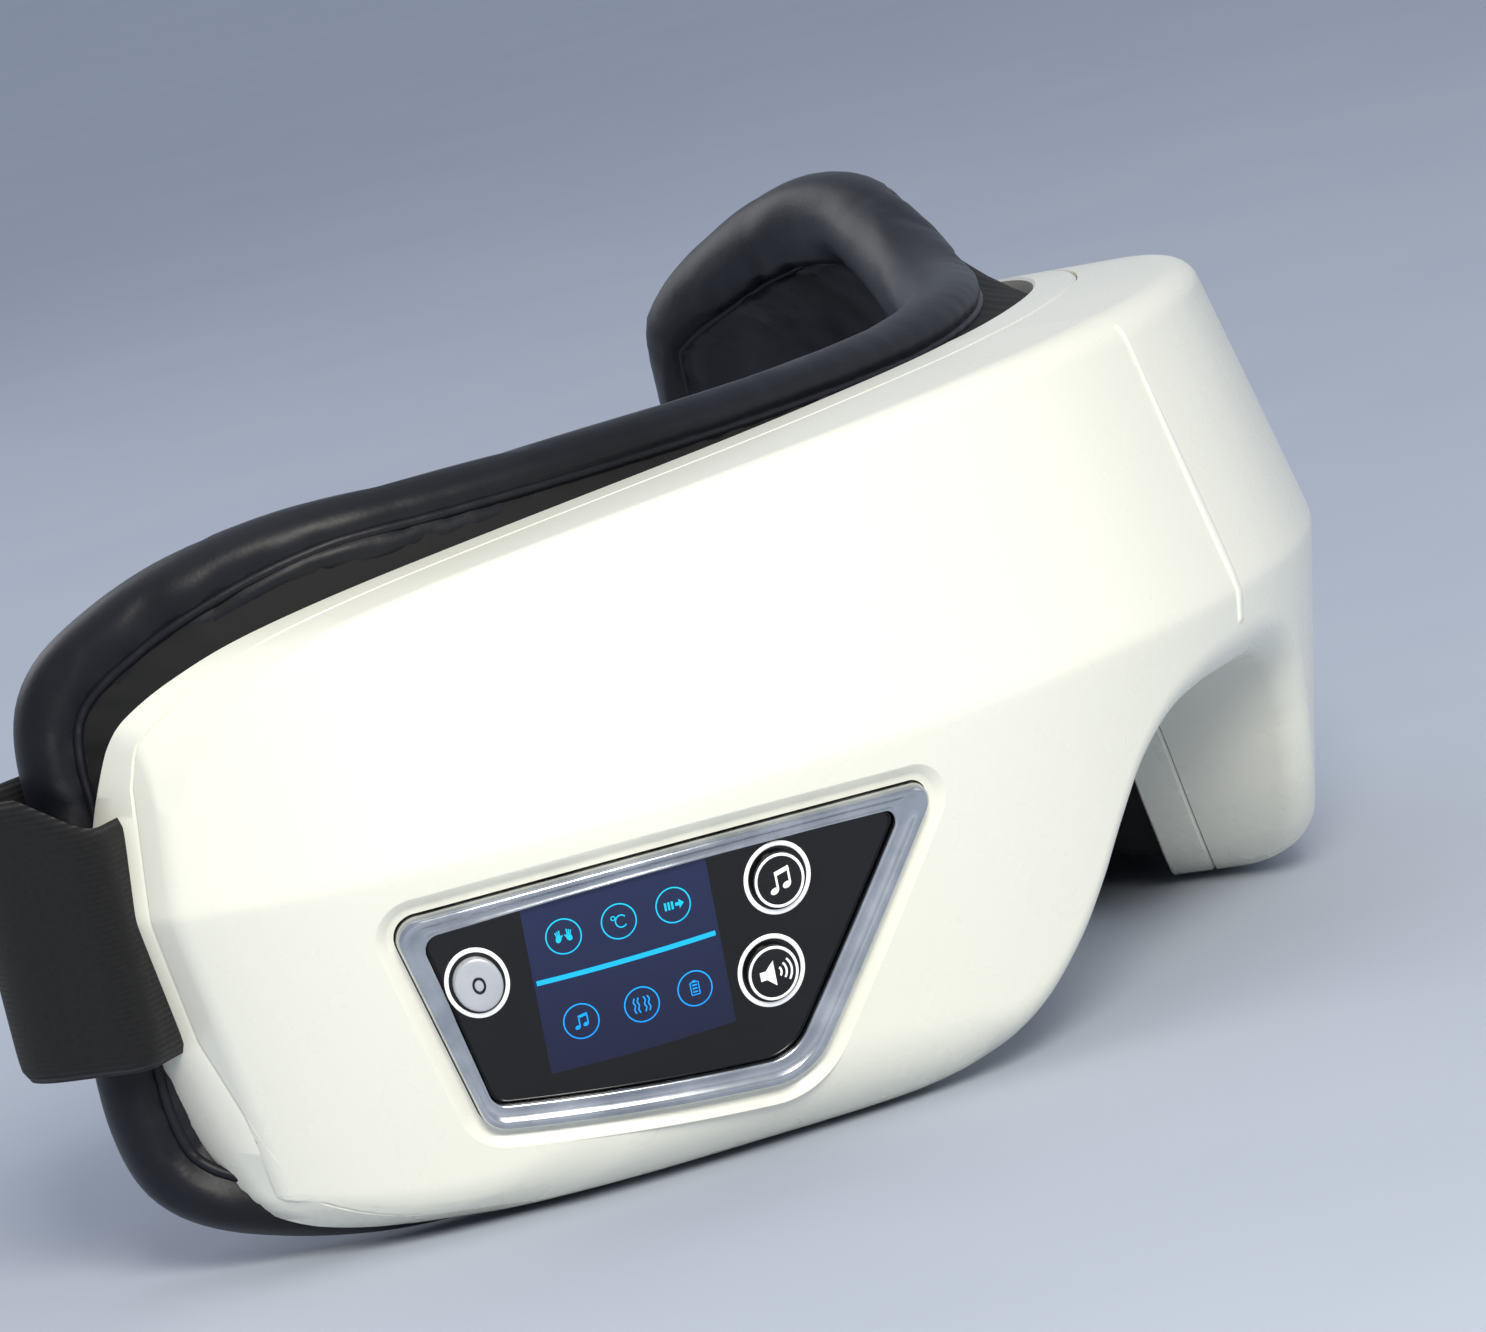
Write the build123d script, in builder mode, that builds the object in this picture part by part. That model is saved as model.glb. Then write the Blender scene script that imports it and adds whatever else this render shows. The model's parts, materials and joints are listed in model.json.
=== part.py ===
from build123d import *
import math
import os

# Eye massager mask, in millimetres.  +Z is up, the front looks along -Y, the wearer's face comes
# in from +Y.  The origin is on the table, in the symmetry plane, under the brow's plan centre.

os.makedirs("parts", exist_ok=True)

# ---------------------------------------------------------------- driving dimensions
HALF_WIDTH = 108.0          # brow ridge, symmetry plane to temple
CREASE_Z = 45.0             # height of the ridge line round the front
TOP_Z = 81.0                # top wall at the centre
NOSE_Z = 37.5               # top of the nose arch
BROW_Y = -48.0              # foremost point of the ridge
TEMPLE_Y = 42.7             # where the ridge has turned straight back
BROW_HANDLE = 64.0          # Bezier handle at the centre of the ridge
TEMPLE_HANDLE = 35.6        # Bezier handle at the temple
RAKE_UP = math.tan(math.radians(12.5))      # lean of the face above the ridge
RAKE_DOWN = math.tan(math.radians(12.1))    # lean of the face below the ridge

WALL = 2.2                  # moulded wall
PARTING = 24.5              # rear edge of the front shell, measured back from the ridge
PARTING_TEMPLE_Y = 45.5
RIM = 31.0                  # rear edge of the rear frame
RIM_TEMPLE_Y = 55.0
PLATE = 2.0                 # rear frame's plate

PANEL_T = 0.57              # ridge parameter under the control panel's centre
PANEL_Z = 23.0
PANEL_R = 113.0             # plan radius of the shell across the panel
BEZEL_PROUD = 0.8
BEZEL_DEEP = 2.6
WINDOW_SUNK = 0.35
WINDOW_THICK = 1.5
KEY_R = 3.5
KEY_PROUD = 0.75
KEY_CLEAR = 0.2
KEYS = {"power_key": (-21.3, 6.8), "music_key": (15.5, 9.4), "volume_key": (12.6, -1.2)}

STRAP_WIDE = 34.0
STRAP_THICK = 1.8
STRAP_X = HALF_WIDTH + 1.5  # mid-plane of the strap beside the temple
STRAP_BAR = (98.6, 49.0)    # bar the strap's end is sewn round, plan position
STRAP_BAR_R = 1.2
STRAP_BACK_Y = 56.5         # straight stretch of the slack strap behind the opening

CUSHION_REAR = 47.0         # back of the face cushion, from the ridge
CUSHION_TEMPLE_Y = 64.0
CUSHION_HALF = 103.0
CUSHION_TOP = 88.5
CUSHION_WIDTH = 13.0        # width of the cushion's ring

FAR = 150.0                 # longer than the object in any direction


# ---------------------------------------------------------------- shared geometry
def ridge(t):
    """Point and unit tangent of the ridge's right half at Bezier parameter t."""
    p = [(0, BROW_Y), (BROW_HANDLE, BROW_Y), (HALF_WIDTH, TEMPLE_Y - TEMPLE_HANDLE),
         (HALF_WIDTH, TEMPLE_Y)]
    w = [(1 - t) ** 3, 3 * t * (1 - t) ** 2, 3 * t * t * (1 - t), t ** 3]
    d = [3 * (1 - t) ** 2, 6 * t * (1 - t), 3 * t * t]
    x, y = (sum(w[i] * p[i][k] for i in range(4)) for k in (0, 1))
    dx, dy = (sum(d[i] * (p[i + 1][k] - p[i][k]) for i in range(3)) for k in (0, 1))
    size = math.hypot(dx, dy)
    return (x, y), (dx / size, dy / size)


def station(side, t, z, depth, rake=0.0):
    """Plane inside the shell: x along the ridge to the right, y up, z out of the front."""
    (x, y), (tx, ty) = ridge(t)
    out = (side * ty, -tx)
    slant = 1 / math.hypot(1, rake)
    return Plane(origin=(side * x - out[0] * depth, y - out[1] * depth, z),
                 x_dir=(tx, side * ty, 0),
                 z_dir=(out[0] * slant, out[1] * slant, -rake * slant))


def plan_edges(setback, shift=0.0):
    """Draws the ridge's plan curve, moved in by setback and back by shift, temple to temple."""
    half = HALF_WIDTH - setback
    apex = BROW_Y + setback + shift
    end = TEMPLE_Y + shift
    brow = BROW_HANDLE - 0.57 * setback
    temple = TEMPLE_HANDLE - 0.82 * setback
    for side in (-1, 1):
        Bezier((0, apex), (side * brow, apex), (side * half, end - temple), (side * half, end))


def drawn_in(inset, side, *spots):
    """Outline points (x, z, direction into the material in degrees), each moved in by inset."""
    return [(side * (x + inset * math.cos(math.radians(way))), z + inset * math.sin(math.radians(way)))
            for x, z, way in spots]


def outline_prism(inset):
    """Prism of the shell's front-view outline, drawn in by inset, running right through in Y."""
    with BuildPart() as prism:
        with BuildSketch(Plane.XZ.offset(FAR)):
            with BuildLine():
                for side in (-1, 1):
                    top = drawn_in(inset, side, (0, TOP_Z, -90), (60, 79.2, -93), (86, 75.8, -100),
                                   (98, 71, -128))
                    corner = drawn_in(inset, side, (98, 71, -128), (102.3, 66, -145),
                                      (105, 58.5, -162))
                    foot = drawn_in(inset, side, (102, 14.5, 165), (100.3, 8.6, 145), (97, 4.6, 120))
                    lobe = drawn_in(inset, side, (97, 4.6, 120), (89.2, 1.2, 100), (80, 0, 90))
                    arch = drawn_in(inset, side, (50, 0, 90), (40, 4.2, 52), (33, 11.7, 38),
                                    (25.5, 24.4, 36), (14, 34.6, 62), (0, NOSE_Z, 90))
                    Spline(*top, tangents=((side, 0), (side * 0.85, -0.53)))
                    ThreePointArc(*corner)
                    Polyline(corner[-1], (side * 116, 52), (side * 116, 22), foot[0])
                    ThreePointArc(*foot)
                    ThreePointArc(*lobe)
                    Line(lobe[-1], arch[0])
                    Spline(*arch, tangents=((-side, 0), (-side, 0)))
            make_face()
        extrude(amount=-2 * FAR)
    return prism.part


def mask_blank(inset):
    """Solid mask, its front and temple skin and its outline all moved in by inset."""
    low, high = -4.0, TOP_Z + 6
    with BuildPart() as blank:
        for z, lean in ((low, RAKE_DOWN), (CREASE_Z, 0.0), (high, RAKE_UP)):
            setback = abs(z - CREASE_Z) * lean + inset
            half = HALF_WIDTH - setback
            with BuildSketch(Plane.XY.offset(z)):
                with BuildLine():
                    plan_edges(setback)
                    Polyline((-half, TEMPLE_Y), (-half, FAR), (half, FAR), (half, TEMPLE_Y))
                make_face()
        loft(ruled=True)
        add(outline_prism(inset), mode=Mode.INTERSECT)
    return blank.part


def skin(outer, inner):
    """Layer of the mask between two insets, open at the back."""
    return mask_blank(outer) - mask_blank(inner)


def behind(shift, temple_y):
    """Everything behind the ridge's curve moved back by shift, or behind temple_y."""
    with BuildPart() as block:
        with BuildSketch(Plane.XY.offset(-20)):
            with BuildLine():
                plan_edges(0, shift)
                Polyline((-HALF_WIDTH, TEMPLE_Y + shift), (-HALF_WIDTH, FAR + 80),
                         (HALF_WIDTH, FAR + 80), (HALF_WIDTH, TEMPLE_Y + shift))
            make_face()
            with Locations((0, temple_y + FAR / 2)):
                Rectangle(2 * FAR, FAR)
        extrude(amount=FAR)
    return block.part


def face_slab(profile, front, rear, front_temple=FAR, rear_temple=FAR):
    """A front-view prism cut to the layer between two shifts of the ridge's curve."""
    return (profile & behind(front, front_temple)) - behind(rear, rear_temple)


def cushion_prism(inset):
    """Prism of the face cushion's front-view outline, drawn in by inset."""
    with BuildPart() as prism:
        with BuildSketch(Plane.XZ.offset(FAR)):
            with BuildLine():
                for side in (-1, 1):
                    top = drawn_in(inset, side, (0, 84.5, -90), (70, 86.5, -88), (84, 87.5, -100))
                    corner = drawn_in(inset, side, (84, 87.5, -100), (97.4, 82, -130),
                                      (CUSHION_HALF, 68, 180))
                    foot = drawn_in(inset, side, (CUSHION_HALF, 18, 180), (97.7, 5.3, 135),
                                    (85, 0, 90))
                    arch = drawn_in(inset, side, (46, 0, 90), (33, 8, 45), (22, 23, 45), (0, 34, 90))
                    Polyline(*top)
                    ThreePointArc(*corner)
                    Line(corner[-1], foot[0])
                    ThreePointArc(*foot)
                    Line(foot[-1], arch[0])
                    Spline(*arch, tangents=((-side, 0.1), (-side, 0)))
            make_face()
        extrude(amount=-2 * FAR)
    return prism.part


panel_plane = station(-1, PANEL_T, PANEL_Z, (CREASE_Z - PANEL_Z) * RAKE_DOWN, RAKE_DOWN)


def panel_spot(along, up):
    """Plane on the shell's curved skin at a place given in the flat panel's own axes."""
    turn = along / PANEL_R
    sag = along * along / (2 * PANEL_R)
    origin = (panel_plane.origin + panel_plane.x_dir * along + panel_plane.y_dir * up
              - panel_plane.z_dir * sag)
    return Plane(origin=origin,
                 x_dir=panel_plane.x_dir * math.cos(turn) - panel_plane.z_dir * math.sin(turn),
                 z_dir=panel_plane.z_dir * math.cos(turn) + panel_plane.x_dir * math.sin(turn))


BEZEL_CORNERS = [(-30, 16.4), (38, 14.8), (15, -15.6), (-23.6, -11.6)]
WINDOW_CORNERS = [(-26.7, 13.9), (32.4, 13.1), (13.2, -12.2), (-22.4, -8.6)]


def panel_prism(corners, radii, grow=0.0):
    """Prism through the shell on the panel's outline, its corners rounded in turn."""
    with BuildPart() as prism:
        with BuildSketch(panel_plane):
            with BuildLine():
                FilletPolyline(*corners, radius=radii, close=True)
            make_face()
            if grow:
                offset(amount=grow)
        extrude(amount=12, both=True)
    return prism.part


BEZEL_RADII = [3.0, 2.2, 8.5, 3.2]
WINDOW_RADII = [2.0, 1.4, 6.0, 2.0]


DATUM_Y = 10.7              # plan middle of the whole assembly, where the row's origin lies


def save(piece, name):
    """Sets a finished piece over the origin, labels it and writes it as its own STEP file."""
    placed = piece.moved(Location((0, -DATUM_Y, 0)))
    placed.label = name
    export_step(placed, f"parts/{name}.step")


# ---------------------------------------------------------------- housing
bezel_hole = panel_prism(BEZEL_CORNERS, BEZEL_RADII, 0.1)
recess = panel_prism(BEZEL_CORNERS, BEZEL_RADII, 2.4)
shell_layer = skin(0, WALL)
parting_block = behind(PARTING, PARTING_TEMPLE_Y)

SCREW_SPOTS = [(side * x, z) for side in (-1, 1) for x, z in ((21.3, 75.2), (66, 73), (50, 7), (96, 45))]
BOSS_R = 2.4
SCREW_R = 0.95
SCREW_LONG = 7.0
HEAD_HOLE_R = 2.2
HEAD_SEAT = 1.2             # the head's seat, behind the parting face
SOCKET_SPOT = (62.0, -9.6)
TRIM_HALF = 0.75

with BuildPart() as trim_prism:
    with BuildSketch(Plane.XZ.offset(FAR)):
        with BuildLine():
            for side in (-1, 1):
                ThreePointArc((0, 79), (side * TRIM_HALF, 56), (0, NOSE_Z + 1.5))
        make_face()
    extrude(amount=-FAR)


def ridge_y(x):
    """Plan y of the ridge's curve at a given x, by bisection."""
    low, high = 0.0, 1.0
    for _ in range(40):
        mid = (low + high) / 2
        low, high = (mid, high) if ridge(mid)[0][0] < abs(x) else (low, mid)
    return ridge(low)[0][1]


with BuildPart() as front_shell:
    add(shell_layer)
    for x, z in SCREW_SPOTS:
        seat = Plane(origin=(x, ridge_y(x) + PARTING + 6, z), z_dir=(0, -1, 0))
        with BuildSketch(seat):
            Circle(BOSS_R)
        extrude(amount=60)
    add(mask_blank(0), mode=Mode.INTERSECT)
    add(parting_block, mode=Mode.SUBTRACT)
    for x, z in SCREW_SPOTS:
        seat = Plane(origin=(x, ridge_y(x) + PARTING + 6, z), z_dir=(0, -1, 0))
        with BuildSketch(seat):
            Circle(SCREW_R + 0.05)
        extrude(amount=6 + SCREW_LONG, mode=Mode.SUBTRACT)
        with BuildSketch(seat):
            Circle(HEAD_HOLE_R)
        extrude(amount=6 - HEAD_SEAT, mode=Mode.SUBTRACT)
    add(bezel_hole, mode=Mode.SUBTRACT)
    add(recess & skin(-1, 0.8), mode=Mode.SUBTRACT)
    add(trim_prism.part & skin(-1, 1.0), mode=Mode.SUBTRACT)
    with Locations((*SOCKET_SPOT, 0)):
        Cylinder(3.2, 2 * WALL + 0.4, mode=Mode.SUBTRACT)
save(front_shell.part, "front_shell")

with BuildPart() as centre_trim:
    add(trim_prism.part & skin(0, 1.0))
save(centre_trim.part, "centre_trim")

HOSE_HOLES = [(-30.0, 60.0), (29.0, 70.0)]
HOSE_R = 1.5
SLOT_HIGH = STRAP_WIDE + 2
SLOT_WIDE = STRAP_THICK + 0.8
LUG_Z = (CREASE_Z - STRAP_WIDE / 2 - 3, CREASE_Z + STRAP_WIDE / 2 + 3)

with BuildPart() as rear_frame:
    add(face_slab(outline_prism(WALL + 0.05), PARTING, PARTING + PLATE, PARTING_TEMPLE_Y,
                  PARTING_TEMPLE_Y + PLATE) & mask_blank(0))
    add((shell_layer & parting_block) - behind(RIM, RIM_TEMPLE_Y))
    for side in (-1, 1):
        for z in LUG_Z:
            with Locations((side * 99.3, 44.6, z)):
                Box(6.2, 13.6, 3)
    add(mask_blank(0) & parting_block, mode=Mode.INTERSECT)
    add(behind(RIM + 8, RIM_TEMPLE_Y), mode=Mode.SUBTRACT)
    for side in (-1, 1):
        with Locations((side * STRAP_BAR[0], STRAP_BAR[1], CREASE_Z)):
            Cylinder(STRAP_BAR_R + 0.05, STRAP_WIDE + 7, mode=Mode.SUBTRACT)
        with Locations((side * 104, STRAP_BAR[1], CREASE_Z)):
            Box(12, SLOT_WIDE, SLOT_HIGH, mode=Mode.SUBTRACT)
    for x, z in SCREW_SPOTS:
        seat = Plane(origin=(x, ridge_y(x) + PARTING + 9, z), z_dir=(0, -1, 0))
        with BuildSketch(seat):
            Circle(SCREW_R + 0.05)
        extrude(amount=20, mode=Mode.SUBTRACT)
        with BuildSketch(seat):
            Circle(HEAD_HOLE_R)
        extrude(amount=9 - HEAD_SEAT, mode=Mode.SUBTRACT)
    for x, z in HOSE_HOLES:
        with BuildSketch(Plane(origin=(x, 0, z), z_dir=(0, -1, 0))):
            Circle(HOSE_R + 0.1)
        extrude(amount=60, mode=Mode.SUBTRACT)
save(rear_frame.part, "rear_frame")

with BuildPart() as housing_screws:
    for x, z in SCREW_SPOTS:
        seat = Plane(origin=(x, ridge_y(x) + PARTING + 2.6, z), z_dir=(0, -1, 0))
        with BuildSketch(seat):
            Circle(1.9)
        extrude(amount=1.35)
        with BuildSketch(seat):
            Circle(SCREW_R)
        extrude(amount=1.35 + 6)
save(housing_screws.part, "housing_screws")

# ---------------------------------------------------------------- control panel
window_prism = panel_prism(WINDOW_CORNERS, WINDOW_RADII)

with BuildPart() as panel_bezel:
    add(panel_prism(BEZEL_CORNERS, BEZEL_RADII) & skin(-BEZEL_PROUD, BEZEL_DEEP))
    add(window_prism, mode=Mode.SUBTRACT)
save(panel_bezel.part, "panel_bezel")

with BuildPart() as panel_window:
    add(window_prism & skin(WINDOW_SUNK, WINDOW_SUNK + WINDOW_THICK))
    for along, up in KEYS.values():
        with BuildSketch(panel_spot(along, up)):
            Circle(KEY_R + KEY_CLEAR)
        extrude(amount=6, both=True, mode=Mode.SUBTRACT)
save(panel_window.part, "panel_window")

KEY_FOOT = 4.4              # key's length below the skin
for key, (along, up) in KEYS.items():
    spot = panel_spot(along, up)
    long_foot = KEY_FOOT - along * along / (2 * PANEL_R)
    with BuildPart() as push_key:
        with BuildSketch(spot.offset(-long_foot)):
            Circle(KEY_R)
        extrude(amount=long_foot + KEY_PROUD)
    save(push_key.part, key)

BOARD_FRONT = 6.6
with BuildPart() as panel_board:
    with BuildSketch(panel_plane.offset(-BOARD_FRONT - 1.2)):
        with Locations((-3.5, 3.2)):
            Rectangle(45, 18)
    extrude(amount=1.2)
save(panel_board.part, "panel_board")

with BuildPart() as key_switches:
    with BuildSketch(panel_plane.offset(-BOARD_FRONT)):
        with Locations(*[(along, up) for along, up in KEYS.values()]):
            Rectangle(4, 4)
    extrude(amount=0.7)
    with BuildSketch(panel_plane.offset(-BOARD_FRONT + 0.7)):
        with Locations(*[(along, up) for along, up in KEYS.values()]):
            Circle(1.2)
    extrude(amount=0.35)
save(key_switches.part, "key_switches")

with BuildPart() as display_module:
    with BuildSketch(panel_plane.offset(-5.9)):
        with Locations((-4.0, 4.0)):
            Rectangle(24, 19)
    extrude(amount=2.2)
save(display_module.part, "display_module")

# ---------------------------------------------------------------- electronics
with BuildPart() as battery_cell:
    with BuildSketch(station(1, 0.5, 31, 16.0)):
        RectangleRounded(42, 28, 2)
    extrude(amount=5.2)
save(battery_cell.part, "battery_cell")

with BuildPart() as control_board:
    with BuildSketch(station(1, 0.388, 59, 14.4)):
        Rectangle(30, 18)
    extrude(amount=1.2)
    with BuildSketch(station(1, 0.388, 59, 13.2)):
        with Locations((-8, 0), (8, 2)):
            Rectangle(9, 9)
    extrude(amount=1.0)
save(control_board.part, "control_board")

with BuildPart() as charging_socket:
    with Locations((*SOCKET_SPOT, WALL + 0.1)):
        Box(5.2, 5.2, 8, align=(Align.CENTER, Align.CENTER, Align.MIN))
        Cylinder(1.9, 7, align=(Align.CENTER, Align.CENTER, Align.MIN), mode=Mode.SUBTRACT)
save(charging_socket.part, "charging_socket")

SPEAKER_T = 0.595
for side, name in ((-1, "left_speaker"), (1, "right_speaker")):
    with BuildPart() as speaker:
        with BuildSketch(station(side, SPEAKER_T, 61, 13.2)):
            Circle(8.5)
        extrude(amount=3.0)
        with BuildSketch(station(side, SPEAKER_T, 61, 10.2)):
            Circle(4.2)
        extrude(amount=1.2)
    save(speaker.part, name)

# ---------------------------------------------------------------- vibration motors
VIBRATOR_T = 0.305
VIBRATOR_DEEP = 14.5
for side, name in ((-1, "left"), (1, "right")):
    spot = station(side, VIBRATOR_T, 0, VIBRATOR_DEEP).origin
    with BuildPart() as motor:
        with Locations((spot.X, spot.Y, 20.0)):
            Cylinder(4.0, 13, align=(Align.CENTER, Align.CENTER, Align.MIN))
            Cylinder(0.65, 4, align=(Align.CENTER, Align.CENTER, Align.MIN), mode=Mode.SUBTRACT)
    save(motor.part, f"{name}_vibration_motor")
    with BuildPart() as weight:
        with Locations((spot.X, spot.Y, 15.0)):
            Cylinder(4.2, 4, align=(Align.CENTER, Align.CENTER, Align.MIN))
            with Locations((0, 5.0, 0)):
                Box(12, 10, 5, align=(Align.CENTER, Align.CENTER, Align.MIN), mode=Mode.SUBTRACT)
            Cylinder(1.4, 4, align=(Align.CENTER, Align.CENTER, Align.MIN))
            Cylinder(0.6, 8.6, align=(Align.CENTER, Align.CENTER, Align.MIN))
    save(weight.part, f"{name}_vibration_weight")

# ---------------------------------------------------------------- air pump, valve and bags
PUMP_Y = -32.0
PUMP_Z = 60.0
pump_face = Plane(origin=(-3, PUMP_Y, PUMP_Z), z_dir=(1, 0, 0))

with BuildPart() as pump_motor:
    with BuildSketch(pump_face):
        Circle(6.2)
    extrude(amount=21)
    with BuildSketch(pump_face):
        Circle(1.0)
    extrude(amount=6, mode=Mode.SUBTRACT)
save(pump_motor.part, "pump_motor")

with BuildPart() as pump_head:
    with BuildSketch(pump_face):
        RectangleRounded(13.5, 15, 2)
    extrude(amount=-14)
    with BuildSketch(pump_face):
        Circle(5.6)
    extrude(amount=-9, mode=Mode.SUBTRACT)
save(pump_head.part, "pump_head")

with BuildPart() as pump_rotor:
    with BuildSketch(pump_face.offset(-7)):
        Circle(0.95)
    extrude(amount=12)
    with BuildSketch(pump_face.offset(-6)):
        with Locations((1.1, 0)):
            Circle(3.6)
    extrude(amount=4)
save(pump_rotor.part, "pump_rotor")

VALVE = station(1, 0.235, 53, 14.0).origin
BORE_R = 2.1
with BuildPart() as valve_body:
    with Locations((VALVE.X, VALVE.Y, VALVE.Z)):
        Box(11, 9, 13, align=(Align.CENTER, Align.CENTER, Align.MIN))
        with Locations((0, 0, 3)):
            Cylinder(BORE_R, 10, align=(Align.CENTER, Align.CENTER, Align.MIN),
                     mode=Mode.SUBTRACT)
save(valve_body.part, "valve_body")

with BuildPart() as valve_plunger:
    with Locations((VALVE.X, VALVE.Y, VALVE.Z + 7.3)):
        Cylinder(2.0, 8, align=(Align.CENTER, Align.CENTER, Align.MIN))
save(valve_plunger.part, "valve_plunger")

SPRING_WIRE_R = 0.2
with BuildPart() as valve_spring:
    with BuildLine() as coil:
        Helix(pitch=1.0, height=3.7, radius=1.5,
              center=(VALVE.X, VALVE.Y, VALVE.Z + 3 + SPRING_WIRE_R + 0.05))
    with BuildSketch(Plane(origin=coil.line @ 0, z_dir=coil.line % 0)):
        Circle(SPRING_WIRE_R)
    sweep()
save(valve_spring.part, "valve_spring")

BAG_FRONT, BAG_REAR = PARTING + PLATE + 0.1, PARTING + PLATE + 3.5
FILM_REAR = BAG_REAR + 0.7
for side, name in ((-1, "left"), (1, "right")):
    with BuildPart() as bag_prism:
        with BuildSketch(Plane.XZ.offset(FAR)):
            with Locations((side * 42, 58)):
                RectangleRounded(42, 32, 8)
        extrude(amount=-2 * FAR)
    save(face_slab(bag_prism.part, BAG_FRONT + 1.5, BAG_REAR), f"{name}_airbag")
    with BuildPart() as film_prism:
        with BuildSketch(Plane.XZ.offset(FAR)):
            with Locations((side * 42, 58)):
                RectangleRounded(37, 27, 6)
        extrude(amount=-2 * FAR)
    save(face_slab(film_prism.part, BAG_REAR + 0.1, FILM_REAR), f"{name}_heating_film")

# each hose leaves the pump head, turns back and goes through the plate into its bag
LEFT_HOSE = [(-17, PUMP_Y + 2, 60), (-30, PUMP_Y + 2, 60), (-30, ridge_y(30) + BAG_FRONT + 0.4, 60)]
RIGHT_HOSE = [(-10, PUMP_Y + 1, PUMP_Z + 6.8), (-10, PUMP_Y + 1, 70), (29, PUMP_Y + 1, 70),
              (29, ridge_y(29) + BAG_FRONT + 0.4, 70)]
for name, route, bend in (("left_air_hose", LEFT_HOSE, 5.0), ("right_air_hose", RIGHT_HOSE, 3.0)):
    with BuildPart() as hose:
        with BuildLine() as path:
            FilletPolyline(*route, radius=bend)
        with BuildSketch(Plane(origin=path.line @ 0, z_dir=path.line % 0)):
            Circle(HOSE_R)
            Circle(HOSE_R - 0.6, mode=Mode.SUBTRACT)
        sweep()
    save(hose.part, name)

# ---------------------------------------------------------------- cushion
with BuildPart() as pockets:
    for side in (-1, 1):
        with Locations((side * 99.35, 44, CREASE_Z)):
            Box(6.9, 16, STRAP_WIDE + 11)
        with Locations((side * STRAP_BAR[0], STRAP_BAR[1], CREASE_Z)):
            Cylinder(3.9, STRAP_WIDE + 11)

with BuildPart() as cushion_frame:
    add(face_slab(mask_blank(0.8) - mask_blank(12), RIM, RIM + 3, RIM_TEMPLE_Y, RIM_TEMPLE_Y + 3))
    add(pockets.part, mode=Mode.SUBTRACT)
save(cushion_frame.part, "cushion_frame")

with BuildPart() as face_cushion:
    add(face_slab(cushion_prism(0) - cushion_prism(CUSHION_WIDTH), RIM + 3, CUSHION_REAR,
                  RIM_TEMPLE_Y + 3, CUSHION_TEMPLE_Y))
    add(pockets.part, mode=Mode.SUBTRACT)
save(face_cushion.part, "face_cushion")

save(face_slab(mask_blank(12), RIM + 1.2, RIM + 2.7), "face_liner")

# ---------------------------------------------------------------- head strap
STRAP_TURN_Y = 71.3         # where the strap's side and back runs would meet
STRAP_BEND_X = 58.0

with BuildPart() as head_strap:
    with BuildSketch(Plane.XY.offset(CREASE_Z - STRAP_WIDE / 2)):
        with BuildLine() as strap_line:
            FilletPolyline(
                (-STRAP_BAR[0] - 2, STRAP_BAR[1]), (-STRAP_X, STRAP_BAR[1]),
                (-STRAP_X, STRAP_TURN_Y), (-STRAP_BEND_X, STRAP_BACK_Y),
                (STRAP_BEND_X, STRAP_BACK_Y), (STRAP_X, STRAP_TURN_Y), (STRAP_X, STRAP_BAR[1]),
                (STRAP_BAR[0] + 2, STRAP_BAR[1]), radius=[2.5, 8.5, 40, 40, 8.5, 2.5])
        trace(line_width=STRAP_THICK)
        with Locations(*[(side * STRAP_BAR[0], STRAP_BAR[1]) for side in (-1, 1)]):
            Circle(STRAP_BAR_R + 1.8)
        with Locations(*[(side * STRAP_BAR[0], STRAP_BAR[1]) for side in (-1, 1)]):
            Circle(STRAP_BAR_R + 0.05, mode=Mode.SUBTRACT)
    extrude(amount=STRAP_WIDE)
save(head_strap.part, "head_strap")

for side, name in ((-1, "left_strap_bar"), (1, "right_strap_bar")):
    with BuildPart() as bar:
        with Locations((side * STRAP_BAR[0], STRAP_BAR[1], CREASE_Z)):
            Cylinder(STRAP_BAR_R, STRAP_WIDE + 6.8)
    save(bar.part, name)

SLIDER_LONG, SLIDER_HIGH, SLIDER_DEEP = 20.0, STRAP_WIDE + 8, 5.2
with BuildPart() as strap_slider:
    with Locations((0, STRAP_BACK_Y, CREASE_Z)):
        Box(SLIDER_LONG, SLIDER_DEEP, SLIDER_HIGH)
        Box(SLIDER_LONG, STRAP_THICK + 0.8, STRAP_WIDE + 0.8, mode=Mode.SUBTRACT)
    for x in (-5.2, 5.2):
        with Locations((x, STRAP_BACK_Y, CREASE_Z)):
            Box(5.6, SLIDER_DEEP, STRAP_WIDE + 0.8, mode=Mode.SUBTRACT)
    fillet(strap_slider.edges().filter_by(Axis.Y).group_by(Axis.Z)[0], 2.5)
    fillet(strap_slider.edges().filter_by(Axis.Y).group_by(Axis.Z)[-1], 2.5)
save(strap_slider.part, "strap_slider")

print("strap length", round(sum(edge.length for edge in strap_line.edges()), 1))
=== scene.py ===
"""Looks of the eye massager mask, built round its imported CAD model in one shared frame."""

import json
import logging
import math
from dataclasses import dataclass, field
from enum import Enum
from typing import Iterable, Sequence

import bmesh
import bpy
import numpy as np
from mathutils import Matrix, Vector

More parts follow.
